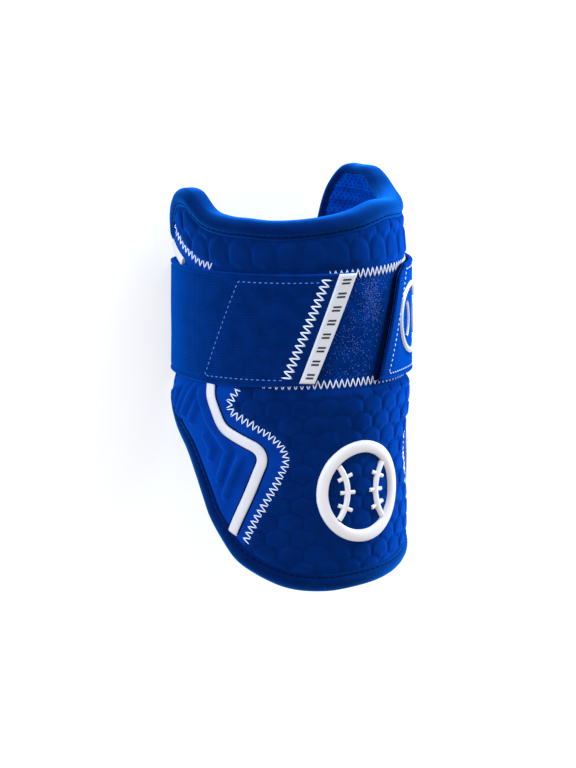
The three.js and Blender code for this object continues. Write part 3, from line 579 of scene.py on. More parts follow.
def roll(x, y, z):
    """Carries flat points (arc length, height, offset) round the arm."""
    x, y, z = np.broadcast_arrays(x, y, z)
    along = np.clip(np.minimum((y - BULGE_START) / (BULGE_FULL - BULGE_START),
                               (STRAP_BOTTOM - y) / (STRAP_BOTTOM - BULGE_FULL)), 0, 1)
    outward = np.clip((z - CORE_BACK) / (CORE_FACE - CORE_BACK), 0, 1)
    radius = FACE_RADIUS + z + BULGE * ease(along, 0, 1) * outward
    lean = LEAN * np.maximum(0, (y - STRAP_TOP) / (LENGTH - STRAP_TOP))
    angle = x / FACE_RADIUS
    return lie(radius * np.sin(angle) - LEAN_LEFT * lean, LEAN_BACK * lean - radius * np.cos(angle), y)


OUTLINE_CURVE = smooth_curve(placed(OUTLINE), True)
OUTLINE_LOOP = evenly(OUTLINE_CURVE, 2.0, True)
TAPE_LOOP = evenly(OUTLINE_CURVE, TAPE_STEP, True)


def side_loop(side):
    """The side panel's region: all that lies outward of its front edges."""
    outer = -150 * DEGREE
    below = placed(SIDE_EDGE_BELOW)[::-1]
    above = placed(SIDE_EDGE_ABOVE)[::-1]
    inner = BAND_LEFT if side < 0 else -BAND_RIGHT
    low, high = STRAP_BOTTOM + 2, STRAP_TOP - 2
    points = [[outer, 0.05 * LENGTH], *below, [-62 * DEGREE, low], [inner, low]]
    points += [[inner, high], [-79.5 * DEGREE, high], *above, [outer, 0.895 * LENGTH]]
    loop = np.array(points)
    return loop if side < 0 else mirrored(loop)


SIDE_LOOPS = {side: side_loop(side) for side in (-1, 1)}
RIB_LINES = [placed(table) for table in RIBS]
RIB_LINES += [mirrored(line) for line in RIB_LINES]


def band_distance(x, y):
    return np.minimum(np.minimum(x - BAND_LEFT, BAND_RIGHT - x), np.minimum(y - BAND_LOW, BAND_HIGH - y))


def scale_relief(x, y):
    """Overlapping scales with round tops, from 0 in the grooves to 1 on the crests."""
    half = SCALE_WIDTH / 2
    y = np.where(y > STRAP_TOP, STRAP_TOP + (y - STRAP_TOP) * UPPER_SHORTENING, y)

    def reach(row):
        """How far inside the row of scales, negative above their tops."""
        shift = np.where(row % 2 == 0, 0, half)
        across = np.abs((x - shift + half) % SCALE_WIDTH - half)
        below = (row + 1) * SCALE_ROW - y
        arc = np.hypot(across / half, np.clip(SCALE_ARC - below, 0, None) / SCALE_ARC)
        return np.where(below < SCALE_ARC, (1 - arc) * SCALE_ARC, half - across)

    row = np.floor(y / SCALE_ROW).astype(int) - 1
    chosen = np.full(x.shape, -1e3)
    lower = np.full(x.shape, 1e3)
    for step in range(4):
        here = reach(row + step)
        free = chosen <= 0
        takes = free & (here > 0)
        chosen = np.where(takes, here, chosen)
        lower = np.where(free & ~takes, np.minimum(lower, -here), lower)
    edge = np.clip(np.minimum(chosen, lower), 0, None)
    return 1 - (1 - np.clip(edge / SCALE_GROOVE, 0, 1)) ** 2


def skin(x, y):
    """Offset of the outer skin at flat points."""
    edge = inside_distance(x, y, OUTLINE_LOOP)
    sides = {side: inside_distance(x, y, SIDE_LOOPS[side]) for side in (-1, 1)}
    band = band_distance(x, y)
    side_edge = np.minimum(np.abs(sides[-1]), np.abs(sides[1]))
    on_side = (sides[-1] > 0) | (sides[1] > 0)
    on_band = (band > 0) & ~on_side
    rounding = SOFT_LUMP * soft_noise(x, y, SOFT_LUMP_SIZE, 3)
    ring = np.abs(np.hypot(x, y - EMBLEM_HEIGHT) - EMBLEM_RADIUS)
    flatter = 1 - FLATTER_AT_MOTIF * (1 - ease(ring, *MOTIF_FADE))
    flatter *= 1 - FLATTER_IN_MIDDLE * (1 - ease(np.abs(x) / DEGREE, *MIDDLE_FADE))
    relief = SCALE_MEAN + (scale_relief(x, y) - SCALE_MEAN) * flatter
    front = SCALE_VALLEY + SCALE_HEIGHT * relief + rounding
    side_face = SIDE_FACE + rounding
    for line in RIB_LINES:
        rib = 1 - ease(line_distance(x, y, line, False), RIB_CREST_HALF, RIB_HALF)
        side_face = np.maximum(side_face, SIDE_FACE + RIB_HEIGHT * rib)
    fuzz = BAND_FACE + FUZZ_HEIGHT * soft_noise(x, y, FUZZ_SIZE, 5)
    offset = np.where(on_side, side_face, np.where(on_band, fuzz, front))
    seam = np.where(on_side | (side_edge < np.abs(band)), side_edge, np.abs(band))
    fade = ease(seam, *SEAM_FADE)
    offset = offset * fade + np.where(on_band, BAND_FACE, SEAM_FACE) * (1 - fade)
    covered = np.where(on_band, 0, near_strap(y, *STRAP_FADE))
    offset = offset * (1 - covered) + np.minimum(offset, UNDER_STRAP) * covered
    tucked = 1 - ease(edge, TAPE_WIDTH + TUCK_FADE[0], TAPE_WIDTH + TUCK_FADE[1])
    return offset * (1 - tucked) + np.minimum(offset, TUCKED) * tucked


# Mesh making
def new_piece(name, points, faces, material, flat=None):
    """An object at the origin from points in metres, with a UV map of flat coordinates."""
    mesh = bpy.data.meshes.new(name)
    mesh.from_pydata([tuple(p) for p in points], [], [tuple(int(i) for i in f) for f in faces])
    if flat is not None:
        layer = mesh.uv_layers.new(name="flat")
        corners = np.empty(len(mesh.loops), dtype=np.int32)
        mesh.loops.foreach_get("vertex_index", corners)
        layer.data.foreach_set("uv", (np.asarray(flat)[corners] * MM).astype(np.float32).ravel())
    mesh.materials.append(material)
    mesh.update()
    return linked(name, mesh)


def finished(piece, *nodes, slot=None):
    """Smooth shading, and the piece rides with the guard and stands for its solids."""
    piece.data.shade_smooth()
    piece.data.set_sharp_from_angle(angle=math.radians(60))
    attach(piece, "root")
    if nodes:
        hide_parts(*nodes)
    return piece


def face_outwards(piece):
    shape = bmesh.new()
    shape.from_mesh(piece.data)
    bmesh.ops.recalc_face_normals(shape, faces=shape.faces)
    shape.to_mesh(piece.data)
    shape.free()
    return piece


def grid_faces(columns, rows):
    """Faces of an open grid of points."""
    starts = [i * rows + j for i in range(columns - 1) for j in range(rows - 1)]
    return [(a, a + rows, a + rows + 1, a + 1) for a in starts]


def slab_faces(columns, rows):
    """Faces of a closed slab of two grids of points, of which the first is the upper one."""
    count = columns * rows
    faces = grid_faces(columns, rows)
    faces += [tuple(a + count for a in reversed(face)) for face in faces]
    rim = [(i * rows + j, (i + 1) * rows + j) for i in range(columns - 1) for j in (0, rows - 1)]
    rim += [(i * rows + j + 1, i * rows + j) for j in range(rows - 1) for i in (0, columns - 1)]
    return faces + [(a, a + count, b + count, b) for a, b in rim]


def closed_sheet(name, region, box, step, upper, lower, material):
    """A closed sheet over a flat region: region gives the distance inside it, upper and lower its faces."""
    past_edge = 1.6 * step   # how far outside a corner may lie before it is moved onto the edge
    probe = 0.05
    x0, x1, y0, y1 = box
    columns = int((x1 - x0) / step) + 1
    rows = int((y1 - y0) / step) + 1
    grid_y, grid_x = np.mgrid[0:rows, 0:columns]
    x = x0 + grid_x.ravel() * step
    y = y0 + grid_y.ravel() * step
    inside = region(x, y)
    corner = (np.arange(rows - 1)[:, None] * columns + np.arange(columns - 1)[None, :]).ravel()
    quads = np.stack([corner, corner + 1, corner + columns + 1, corner + columns], axis=1)
    kept = (inside[quads].max(axis=1) > 0) & (inside[quads].min(axis=1) > -past_edge)
    quads = quads[kept]
    used, quads = np.unique(quads, return_inverse=True)
    quads = quads.reshape(-1, 4)
    x, y, inside = x[used], y[used], inside[used]
    for _ in range(2):
        outside = inside < 0
        ox, oy = x[outside], y[outside]
        here = inside[outside]
        gx = (region(ox + probe, oy) - here) / probe
        gy = (region(ox, oy + probe) - here) / probe
        size = np.maximum(gx * gx + gy * gy, 0.2)
        x[outside] = ox - here * gx / size
        y[outside] = oy - here * gy / size
        inside[outside] = region(x[outside], y[outside])
    count = len(x)
    points = np.vstack([roll(x, y, upper(x, y)), roll(x, y, lower(x, y))])
    edges = {}
    for quad in quads:
        for a, b in zip(quad, np.roll(quad, -1)):
            if (b, a) in edges:
                del edges[(b, a)]
            else:
                edges[(a, b)] = True
    faces = [*quads, *(quads[:, ::-1] + count)]
    faces += [(b, a, a + count, b + count) for a, b in edges]
    flat = np.stack([np.tile(x, 2), np.tile(y, 2)], axis=1)
    return new_piece(name, points, faces, material, flat)


def swept(name, line, sections, material, closed, place=roll):
    """Sections (across, offset) carried along a flat line; open ends are capped."""
    normals = line_normals(line, closed)
    count, corners = sections.shape[:2]
    x = line[:, :1] + normals[:, :1] * sections[:, :, 0]
    y = line[:, 1:] + normals[:, 1:] * sections[:, :, 0]
    points = place(x, y, sections[:, :, 1]).reshape(-1, 3)
    flat = np.stack([np.broadcast_to(np.arange(count)[:, None] * 1.0, x.shape).ravel(),
                     sections[:, :, 0].ravel()], axis=1)
    faces = []
    for i in range(count if closed else count - 1):
        here, after = i * corners, (i + 1) % count * corners
        for j in range(corners):
            k = (j + 1) % corners
            faces.append((here + j, after + j, after + k, here + k))
    if not closed:
        faces.append(tuple(range(corners)))
        faces.append(tuple((count - 1) * corners + j for j in reversed(range(corners))))
    return face_outwards(new_piece(name, points, faces, material, flat))


def rounded_bar(width, base, crest, corners=9):
    """A bar's section with soft shoulders and a nearly flat crest."""
    turn = np.linspace(0, math.pi, corners)
    across = -np.cos(turn) * width / 2
    height = base + (crest - base) * np.clip(np.sin(turn), 0, 1) ** 0.45
    return np.stack([across, height], axis=1)


def bar(name, line, width, base, crest, material, closed=False, place=roll, tuck=False):
    """A raised bar; tuck sinks it where it goes under the edge tape."""
    section = rounded_bar(width, base, crest)
    sections = np.repeat(section[None], len(line), axis=0)
    if tuck:
        edge = inside_distance(line[:, 0], line[:, 1], OUTLINE_LOOP)
        sections[:, :, 1] -= ((1 - ease(edge, TAPE_WIDTH - 2.0, TAPE_WIDTH + 0.6)) * 2.4)[:, None]
    return swept(name, line, sections, material, closed, place)


def joined(name, pieces):
    """Several pieces as one object."""
    shape = bmesh.new()
    for piece in pieces:
        shape.from_mesh(piece.data)
    mesh = bpy.data.meshes.new(name)
    shape.to_mesh(mesh)
    shape.free()
    for material in pieces[0].data.materials:
        mesh.materials.append(material)
    for piece in pieces:
        bpy.data.objects.remove(piece)
    return linked(name, mesh)


# Threads and fibres, made by geometry node trees
def new_tree(name, **values):
    """A geometry node tree with these inputs besides its mesh and its material, as a graph to fill."""
    tree = bpy.data.node_groups.new(name, "GeometryNodeTree")
    for value, kind in {"Geometry": "Geometry", **values, "Material": "Material"}.items():
        tree.interface.new_socket(value, in_out="INPUT", socket_type="NodeSocket" + kind)
    tree.interface.new_socket("Geometry", in_out="OUTPUT", socket_type="NodeSocketGeometry")
    graph = Graph(tree)
    return tree, graph, graph.add("NodeGroupInput").outputs


def lay_threads(graph, given, points, rotation, segments, rings, smooth):
    """Ends a tree with a thread on each point, as long and thick as its inputs say."""
    half = graph.maths("MULTIPLY", given["Length"], 0.5)
    size = graph.add("ShaderNodeCombineXYZ", {"X": half, "Y": given["Radius"], "Z": given["Radius"]})
    thread = graph.add("GeometryNodeMeshUVSphere", {"Segments": segments, "Rings": rings})
    inputs = {"Points": points, "Instance": thread.outputs["Mesh"], "Rotation": rotation,
              "Scale": size.outputs[0]}
    laid = graph.add("GeometryNodeInstanceOnPoints", inputs)
    shape = graph.add("GeometryNodeRealizeInstances", {0: laid.outputs[0]})
    if smooth:
        shape = graph.add("GeometryNodeSetShadeSmooth", {0: shape.outputs[0]})
    inputs = {"Geometry": shape.outputs[0], "Material": given["Material"]}
    painted = graph.add("GeometryNodeSetMaterial", inputs)
    graph.add("NodeGroupOutput", {0: painted.outputs[0]})


def stitch_tree():
    """Threads along a line: every other one is turned the other way, which makes a zigzag."""
    tree, graph, given = new_tree("stitch_row", Pitch="Float", Length="Float", Radius="Float", Slant="Float")
    curve = graph.add("GeometryNodeMeshToCurve", {"Mesh": given["Geometry"]})
    inputs = {"Curve": curve.outputs[0], "Length": given["Pitch"]}
    evened = graph.add("GeometryNodeResampleCurve", inputs, mode="LENGTH")
    tangent = graph.add("GeometryNodeInputTangent").outputs[0]
    attribute = graph.add("GeometryNodeInputNamedAttribute", {"Name": "outward"}, data_type="FLOAT_VECTOR")
    outward = attribute.outputs["Attribute"]
    parity = graph.maths("MODULO", graph.add("GeometryNodeInputIndex").outputs[0], 2)
    turn = graph.maths("MULTIPLY", graph.maths("MULTIPLY_ADD", parity, 2, -1), given["Slant"])
    turned = graph.add("ShaderNodeVectorRotate", {"Vector": tangent, "Axis": outward, "Angle": turn})
    align = "FunctionNodeAlignRotationToVector"
    along = graph.add(align, {"Vector": turned.outputs[0]}, axis="X")
    inputs = {"Rotation": along.outputs[0], "Vector": outward}
    upright = graph.add(align, inputs, axis="Z", pivot_axis="X")
    lay_threads(graph, given, evened.outputs[0], upright.outputs[0], 6, 5, True)
    return tree


def fibre_tree():
    """Fibres strewn over a surface: thickest where its attribute "worn" is high, each turned at random."""
    tree, graph, given = new_tree("fibre_field", Density="Float", Length="Float", Radius="Float",
                                  Tilt="Float", Seed="Int")
    worn = graph.add("GeometryNodeInputNamedAttribute", {"Name": "worn"}, data_type="FLOAT")
    density = graph.maths("MULTIPLY", given["Density"], worn.outputs["Attribute"])
    inputs = {"Mesh": given["Geometry"], "Density": density, "Seed": given["Seed"]}
    strewn = graph.add("GeometryNodeDistributePointsOnFaces", inputs)
    lowest = graph.add("ShaderNodeCombineXYZ", {"Y": graph.maths("MULTIPLY", given["Tilt"], -1)})
    highest = graph.add("ShaderNodeCombineXYZ", {"Y": given["Tilt"], "Z": 2 * math.pi})
    inputs = {"Min": lowest.outputs[0], "Max": highest.outputs[0], "Seed": given["Seed"]}
    chance = graph.add("FunctionNodeRandomValue", inputs, data_type="FLOAT_VECTOR")
    euler = graph.add("FunctionNodeEulerToRotation", {0: chance.outputs["Value"]})
    inputs = {"Rotation": strewn.outputs["Rotation"], "Rotate By": euler.outputs[0]}
    turned = graph.add("FunctionNodeRotateRotation", inputs, rotation_space="LOCAL")
    lay_threads(graph, given, strewn.outputs["Points"], turned.outputs[0], 4, 4, False)
    return tree


def add_tree(piece, tree, **values):
    """Puts the tree on the piece, with its inputs by name."""
    modifier = piece.modifiers.new(tree.name, "NODES")
    modifier.node_group = tree
    for socket in tree.interface.items_tree:
        if socket.in_out == "INPUT" and socket.name in values:
            modifier[socket.identifier] = values[socket.name]


def baked(source, name):
    """The source's evaluated shape as a plain mesh object."""
    graph = bpy.context.evaluated_depsgraph_get()
    mesh = bpy.data.meshes.new_from_object(source.evaluated_get(graph))
    mesh.name = name
    used = source.data
    bpy.data.objects.remove(source)
    bpy.data.meshes.remove(used)
    return linked(name, mesh)


def stitches(name, lines, material, pitch, length, radius, slant=0):
    """One object of stitches along lines of (points, outward directions) in metres."""
    points, outward, edges = [], [], []
    for line, normals in lines:
        first = len(points)
        points += [tuple(p) for p in line]
        outward += [tuple(n) for n in normals]
        edges += [(first + i, first + i + 1) for i in range(len(line) - 1)]
    mesh = bpy.data.meshes.new(name + "_lines")
    mesh.from_pydata(points, edges, [])
    attribute = mesh.attributes.new("outward", "FLOAT_VECTOR", "POINT")
    attribute.data.foreach_set("vector", np.array(outward, dtype=np.float32).ravel())
    source = linked(name + "_lines", mesh)
    add_tree(source, STITCH_TREE, Pitch=pitch * MM, Length=length * MM, Radius=radius * MM,
             Slant=math.radians(slant), Material=material)
    piece = baked(source, name)
    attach(piece, "root")
    return piece


def pointed(place, x, y, z, up=1):
    """Placed points, with the directions that lead off their surface."""
    points = place(x, y, z)
    return points, (place(x, y, z + up) - points) / MM


def on_guard(points, lift, offset=None):
    """A seam's line on the outer skin, with its outward directions."""
    line = evenly(smooth_curve(points, False), 0.9, False)
    x, y = line[:, 0], line[:, 1]
    z = (skin(x, y) if offset is None else np.full(x.shape, offset)) + lift
    return pointed(roll, x, y, z)


# Strap
STRAP_RADIUS = FACE_RADIUS + STRAP_LOW + STRAP_THICKNESS / 2


def strap_radius(angle):
    step = HOOK_STEP * ease(-angle, -HOOK_FADE, -HOOK_END)
    lift = FREE_END_LIFT * ease(-angle, -LIFT_START, -FREE_END)
    return np.where(angle < 0, STRAP_RADIUS, STRAP_RADIUS + step + lift)


def strap_line():
    """The strap's middle line across the arm, from the sewn end round the back to the free end."""
    inner = STRAP_RADIUS - CORNER_RADIUS
    leave = 180 - math.degrees(math.acos((CHORD_DEPTH - CORNER_RADIUS) / inner))
    left = np.arange(SEWN_LINE, -leave, -1.0)
    right = np.arange(leave, FREE_END - 1e-6, -1.0)
    turns = np.radians(np.linspace(leave, 180, 12))
    away = inner * math.sin(math.radians(leave))

    def round_arm(angles):
        radius = strap_radius(angles)
        return np.stack([radius * np.sin(np.radians(angles)), -radius * np.cos(np.radians(angles))], axis=1)

    def corner(side):
        return np.stack([side * (away + CORNER_RADIUS * np.sin(turns)),
                         CHORD_DEPTH - CORNER_RADIUS - CORNER_RADIUS * np.cos(turns)], axis=1)

    line = np.vstack([round_arm(left), corner(-1), corner(1)[::-1], round_arm(right)])
    return evenly(line, 1.0, False)


STRAP = strap_line()
STRAP_LENGTHS = np.concatenate([[0], np.cumsum(np.linalg.norm(np.diff(STRAP, axis=0), axis=1))])
STRAP_NORMALS = line_normals(STRAP, False)
STRAP_ANGLES = np.degrees(np.arctan2(STRAP[:, 0], -STRAP[:, 1]))


def strap_at(angle):
    """The distance along the strap at an angle round the arm."""
    side = np.sign(angle)
    chosen = (np.sign(STRAP_ANGLES) == side) & (np.abs(STRAP_ANGLES) > 2)
    angles, lengths = np.abs(STRAP_ANGLES[chosen]), STRAP_LENGTHS[chosen]
    order = np.argsort(angles)
    return float(np.interp(abs(angle), angles[order], lengths[order]))


def strap_place(s, y, z):
    """Carries flat strap points (along, height, offset) to their place."""
    s, y, z = np.broadcast_arrays(s, y, z)
    columns = (*STRAP.T, *STRAP_NORMALS.T)
    x, depth, off_x, off_depth = (np.interp(s, STRAP_LENGTHS, column) for column in columns)
    return lie(x + z * off_x, depth + z * off_depth, y)


def on_strap(table, lift):
    """A stitch line on the strap's outer face, from a table of angle and height."""
    points = np.array([(strap_at(angle), height) for angle, height in table])
    line = evenly(points, 0.9, False)
    return pointed(strap_place, line[:, 0], line[:, 1], STRAP_THICKNESS / 2 + lift)


def strap_ends(y):
    """Where the strap starts and ends at a height: both ends are cut on a slant."""
    share = (y - STRAP_BOTTOM) / STRAP_WIDTH
    start = strap_at(SEWN_LOW) + (strap_at(SEWN_HIGH) - strap_at(SEWN_LOW)) * share
    corners = [STRAP_LENGTHS[-1] - 0.1, strap_at(CORNER_ANGLE), strap_at(FREE_END_TOP)]
    end = np.interp(share, [0, 1 - CORNER_CUT / STRAP_WIDTH, 1], corners)
    return start, end


def elastic_strap(material, end_shade_material):
    """The webbing: flat, with rounded selvedges and soft waves; its free end's faces take a dark material,
    painted shade for the shadow under the lifted end.
    """
    across = np.concatenate([np.linspace(0, 0.07, 12), np.linspace(0.1, 0.9, 22), np.linspace(0.93, 1, 12)])
    y = STRAP_BOTTOM + STRAP_WIDTH * across
    start, end = strap_ends(y)
    columns, rows = 420, len(across)
    share = np.linspace(0, 1, columns)
    s = start[None, :] + (end - start)[None, :] * share[:, None]
    sag = EDGE_SAG * hill(s, strap_at(SAG_ANGLE), SAG_REACH) * (1 - across[None, :]) ** 2
    heights = np.broadcast_to(y[None, :], s.shape) - sag
    rim = np.minimum(across, 1 - across) * STRAP_WIDTH
    half = STRAP_THICKNESS / 2 * rounded_off(rim / 0.9, 0.04)
    selvedge = SELVEDGE_RIDGE[0] * hill(rim, *SELVEDGE_RIDGE[1:])
    selvedge -= SELVEDGE_GROOVE[0] * hill(rim, *SELVEDGE_GROOVE[1:])
    from_end = np.minimum(s - start[None, :], end[None, :] - s)
    blunt = rounded_off(from_end / 0.8, 0.1)
    wave = WAVE_HEIGHT * soft_noise(s, heights, WAVE_SIZE, 11) * ease(from_end, 0, 6)
    top = (half + selvedge)[None, :] * blunt + np.clip(wave, -0.1, 0.2)
    bottom = -half[None, :] * blunt
    points = np.vstack([strap_place(s, heights, z).reshape(-1, 3) for z in (top, bottom)])
    flat = np.tile(np.stack([s.ravel(), heights.ravel()], axis=1), (2, 1))
    piece = new_piece("elastic_strap", points, slab_faces(columns, rows), material, flat)
    # The free end's faces get the dark material: painted shade, standing for the shadow under the lifted
    # end.
    piece.data.materials.append(end_shade_material)
    for face in piece.data.polygons:
        if all(v % (columns * rows) // rows == columns - 1 for v in face.vertices):
            face.material_index = 1
    return face_outwards(piece)


# Edge tape
def tape_section():
    """The folded tape's section: across from the outline, and offset from the face."""
    outer = [(8.6, -1.9), (8.45, -0.75), (8.0, -0.3), (7.3, -0.28), (6.9, -0.42), (6.5, -0.1), (5.9, 0.3),
             (5.0, 0.52), (4.0, 0.5), (3.0, 0.25), (2.0, -0.3), (1.2, -1.1), (0.55, -2.2), (0.2, -3.6)]
    inner = [(0.2, -7.0), (0.35, -8.3), (0.65, -9.3), (1.1, -10.1), (1.8, -10.7), (2.5, -11.0),
             (3.2, -10.9), (3.6, -10.5), (4.0, -10.6), (4.4, -10.3), (4.6, -9.4)]
    hidden = [(4.4, -8.8), (1.8, -8.6), (1.8, -2.1), (8.2, -2.1)]
    return np.array(outer + inner + hidden)


def edge_tape(material):
    """The tape round the whole outline, with soft puckers, and pressed flat under the strap."""
    section = tape_section()
    sections = np.repeat(section[None], len(TAPE_LOOP), axis=0)
    run = np.arange(len(TAPE_LOOP)) * TAPE_STEP
    pucker = PUCKER_HEIGHT * np.sin(2 * math.pi * run / PUCKER_PITCH)
    sag = TAPE_SAG * soft_noise(run, run * 0, 21.0, 7)
    shoulder = ((section[:, 0] > 2.5) & (section[:, 1] > -0.6)).astype(float)
    belly = (section[:, 1] < -9).astype(float)
    crease = hill(section[:, 0], 6.0, 1.2)
    sections[:, :, 1] += (pucker[:, None] * crease + sag[:, None]) * (shoulder - belly)
    near = near_strap(TAPE_LOOP[:, 1:2], *TAPE_PRESS)
    pressed = np.minimum(sections[:, :, 1], TAPE_PRESSED)
    sections[:, :, 1] = sections[:, :, 1] * (1 - near) + pressed * near
    return swept("edge_tape", TAPE_LOOP, sections, material, True)


def tape_stitches(thread, outer=True):
    """The row of stitches along the tape's inner edge."""
    across = TAPE_SEAM if outer else TAPE_SEAM_INSIDE
    x, y = (TAPE_LOOP + line_normals(TAPE_LOOP, True) * across).T
    near = near_strap(y, *TAPE_PRESS)
    face = TAPE_SEAM_LEVEL * (1 - near) + (TAPE_PRESSED - 0.05) * near
    back = np.full(y.shape, TAPE_SEAM_LEVEL_INSIDE)
    line, outward = pointed(roll, x, y, face) if outer else pointed(roll, x, y, back, -1)
    closed = [np.vstack([rows, rows[:1]]) for rows in (line, outward)]
    name = "tape_stitches" if outer else "tape_stitches_inside"
    stitches(name, [closed], thread, pitch=3.2, length=2.3, radius=0.3)


# Motifs
def arc(cx, cy, radius, start, end, step=1.2):
    count = max(3, int(abs(math.radians(end - start)) * radius / step))
    turn = np.radians(np.linspace(start, end, count + 1))
    return np.stack([cx + radius * np.cos(turn), cy + radius * np.sin(turn)], axis=1)


def facing_arc(cx, cy, side, centre, radius, span):
    """One of two arcs that face each other, as a ball's seams do."""
    line = arc(0, cy, radius, -span, span)
    line[:, 0] = cx + side * centre - side * line[:, 0]
    return line


def front_ball(material):
    """A ball as a ring with two stitched seams."""
    ring = arc(0, EMBLEM_HEIGHT, EMBLEM_RADIUS, 0, 360)[:-1]
    parts = [bar("ring", ring, EMBLEM_STROKE, EMBLEM_BASE, EMBLEM_CREST, material, closed=True)]
    for side in (-1, 1):
        seam = facing_arc(0, EMBLEM_HEIGHT, side, SEAM_CENTRE, SEAM_RADIUS, SEAM_SPAN)
        parts.append(bar("seam", seam, SEAM_STROKE, EMBLEM_BASE, SEAM_CREST, material))
        for i in range(TICKS):
            turn = math.radians(((i + 0.5) / TICKS * 2 - 1) * SEAM_SPAN * TICK_SPREAD)
            reach = SEAM_RADIUS + np.linspace(-0.5, 0.5, 9) * TICK_LENGTH
            tick = np.stack([side * SEAM_CENTRE - side * reach * math.cos(turn),
                             EMBLEM_HEIGHT + reach * math.sin(turn)], axis=1)
            parts.append(bar("tick", tick, TICK_WIDTH, EMBLEM_BASE, TICK_CREST, material))
    return joined("front_ball", parts)


def flap_ring(material):
    """A small ring with two seam arcs on the strap's free end."""
    cx, cy = strap_at(FLAP_EMBLEM_ANGLE), STRAP_BOTTOM + STRAP_WIDTH / 2
    low, high = STRAP_THICKNESS / 2 - 0.1, STRAP_THICKNESS / 2 + 0.9
    ring = arc(cx, cy, FLAP_RING_RADIUS, 0, 360)[:-1]
    parts = [bar("ring", ring, FLAP_RING_STROKE, low, high, material, True, strap_place)]
    for side in (-1, 1):
        seam = facing_arc(cx, cy, side, FLAP_SEAM_CENTRE, FLAP_SEAM_RADIUS, FLAP_SEAM_SPAN)
        parts.append(bar("seam", seam, FLAP_SEAM_STROKE, low, high - 0.2, material, False, strap_place))
    return joined("flap_ring", parts)


def label_point(u, v):
    """A flat point on the label: u across from its left edge, v up from its lower edge."""
    a, b, c, d = (np.array([angle * DEGREE, height]) for angle, height in LABEL)
    u, v = u[..., None], v[..., None]
    return (a * (1 - u) + b * u) * (1 - v) + (d * (1 - u) + c * u) * v


def slab_on_label(name, u_ends, v_ends, base, crest, columns, rows, material, rim=0.5):
    """A rounded slab over part of the label."""
    u, v = np.meshgrid(np.linspace(*u_ends, columns), np.linspace(*v_ends, rows), indexing="ij")
    flat = label_point(u, v)
    x, y = flat[..., 0], flat[..., 1]
    reach = np.minimum(np.minimum(u - u_ends[0], u_ends[1] - u) * LABEL_ACROSS,
                       np.minimum(v - v_ends[0], v_ends[1] - v) * LABEL_UP)
    top = base + (crest - base) * rounded_off(reach / rim)
    points = np.vstack([roll(x, y, z).reshape(-1, 3) for z in (top, base - 0.1)])
    uv = np.tile(flat.reshape(-1, 2), (2, 1))
    return face_outwards(new_piece(name, points, slab_faces(columns, rows), material, uv))


def label_marks(material):
    """Pairs of slanted bars up the label, a plain pattern."""
    parts = []
    for i in range(MARK_PAIRS):
        for shift in (-MARK_SHIFT, MARK_SHIFT):
            middle = MARK_MARGIN + (1 - 2 * MARK_MARGIN) * i / (MARK_PAIRS - 1) + shift
            v_ends = (middle - MARK_HALF, middle + MARK_HALF)
            parts.append(slab_on_label("mark", MARK_ENDS, v_ends, LABEL_FACE, LABEL_FACE + MARK_HEIGHT,
                                       10, 5, material, rim=0.2))
    return joined("label_marks", parts)


def loop_fibres(material):
    """Short pale fibres on the loop band where it shows, between the label and the strap's free end."""
    columns, rows = 40, 60
    u, v = np.meshgrid(np.linspace(0, 1, columns), np.linspace(0, 1, rows), indexing="ij")
    y = STRAP_BOTTOM + 1.5 + (STRAP_WIDTH - 3) * v
    left = (LABEL[1][0] + (LABEL[2][0] - LABEL[1][0]) * v) * DEGREE + 1
    right = (FREE_END + (CORNER_ANGLE - FREE_END) * v) * DEGREE - 1
    x = left + (right - left) * u
    worn = np.full(x.shape, 0.12)
    for share, across, height, x_reach, y_reach in WORN_SPOTS:
        worn += share * hill(x, across, x_reach) * hill(y, STRAP_BOTTOM + height, y_reach)
    points = roll(x, y, BAND_FACE + 0.2).reshape(-1, 3)
    field = new_piece("loop_fibres_field", points, grid_faces(columns, rows), material)
    attribute = field.data.attributes.new("worn", "FLOAT", "POINT")
    attribute.data.foreach_set("value", worn.ravel().astype(np.float32))
    add_tree(field, fibre_tree(), Density=2.4e6, Length=1.1 * MM, Radius=0.04 * MM, Tilt=0.5, Seed=21,
             Material=material)
    return baked(field, "loop_fibres")


def floor_and_light():
    world = bpy.data.worlds.new("studio")
    world.use_nodes = True
    background = world.node_tree.nodes["Background"]
    background.inputs["Color"].default_value = (1, 1, 1, 1)
    background.inputs["Strength"].default_value = WORLD_STRENGTH
    bpy.context.scene.world = world
    bpy.context.scene.view_settings.view_transform = "Standard"
    for light in LIGHTS:
        area_light(*light)
    corners = [(x * FLOOR_REACH, y * FLOOR_REACH, 0) for x, y in ((-1, -1), (1, -1), (1, 1), (-1, 1))]
    pale = plain_surface("pale_floor", [FLOOR_GREY] * 3 + [1], 0.8, 40.0, 0.02, 0.005,
                         Emission_Color=[1, 1, 1, 1], Emission_Strength=FLOOR_GLOW)
    new_piece("floor", corners, [(0, 1, 2, 3)], pale)


# Regions and faces of the sheets
def inside_outline(inset):
    return lambda x, y: inside_distance(x, y, OUTLINE_LOOP) - inset


def minus_sides(distance):
    """The part of a region that neither side panel takes."""
    within = inside_outline(COVER_INSET)

    def region(x, y):
        sides = np.maximum(inside_distance(x, y, SIDE_LOOPS[-1]), inside_distance(x, y, SIDE_LOOPS[1]))
        return np.minimum(np.minimum(distance(x, y), within(x, y)), -sides)
    return region


def side_region(side):
    within = inside_outline(COVER_INSET)
    return lambda x, y: np.minimum(inside_distance(x, y, SIDE_LOOPS[side]), within(x, y))


def level(offset):
    return lambda x, y: np.full(x.shape, offset)


def lining_face(x, y):
    """Ribs round the arm, fading under the edge tape."""
    wave = 0.5 + 0.5 * np.cos(2 * math.pi * y / LINING_RIB)
    ribs = LINING_VALLEY + (LINING_CREST - LINING_VALLEY) * wave ** 3
    fade = ease(inside_distance(x, y, OUTLINE_LOOP), *LINING_FADE)
    return ribs * fade + (LINING_FACE - 0.3) * (1 - fade)


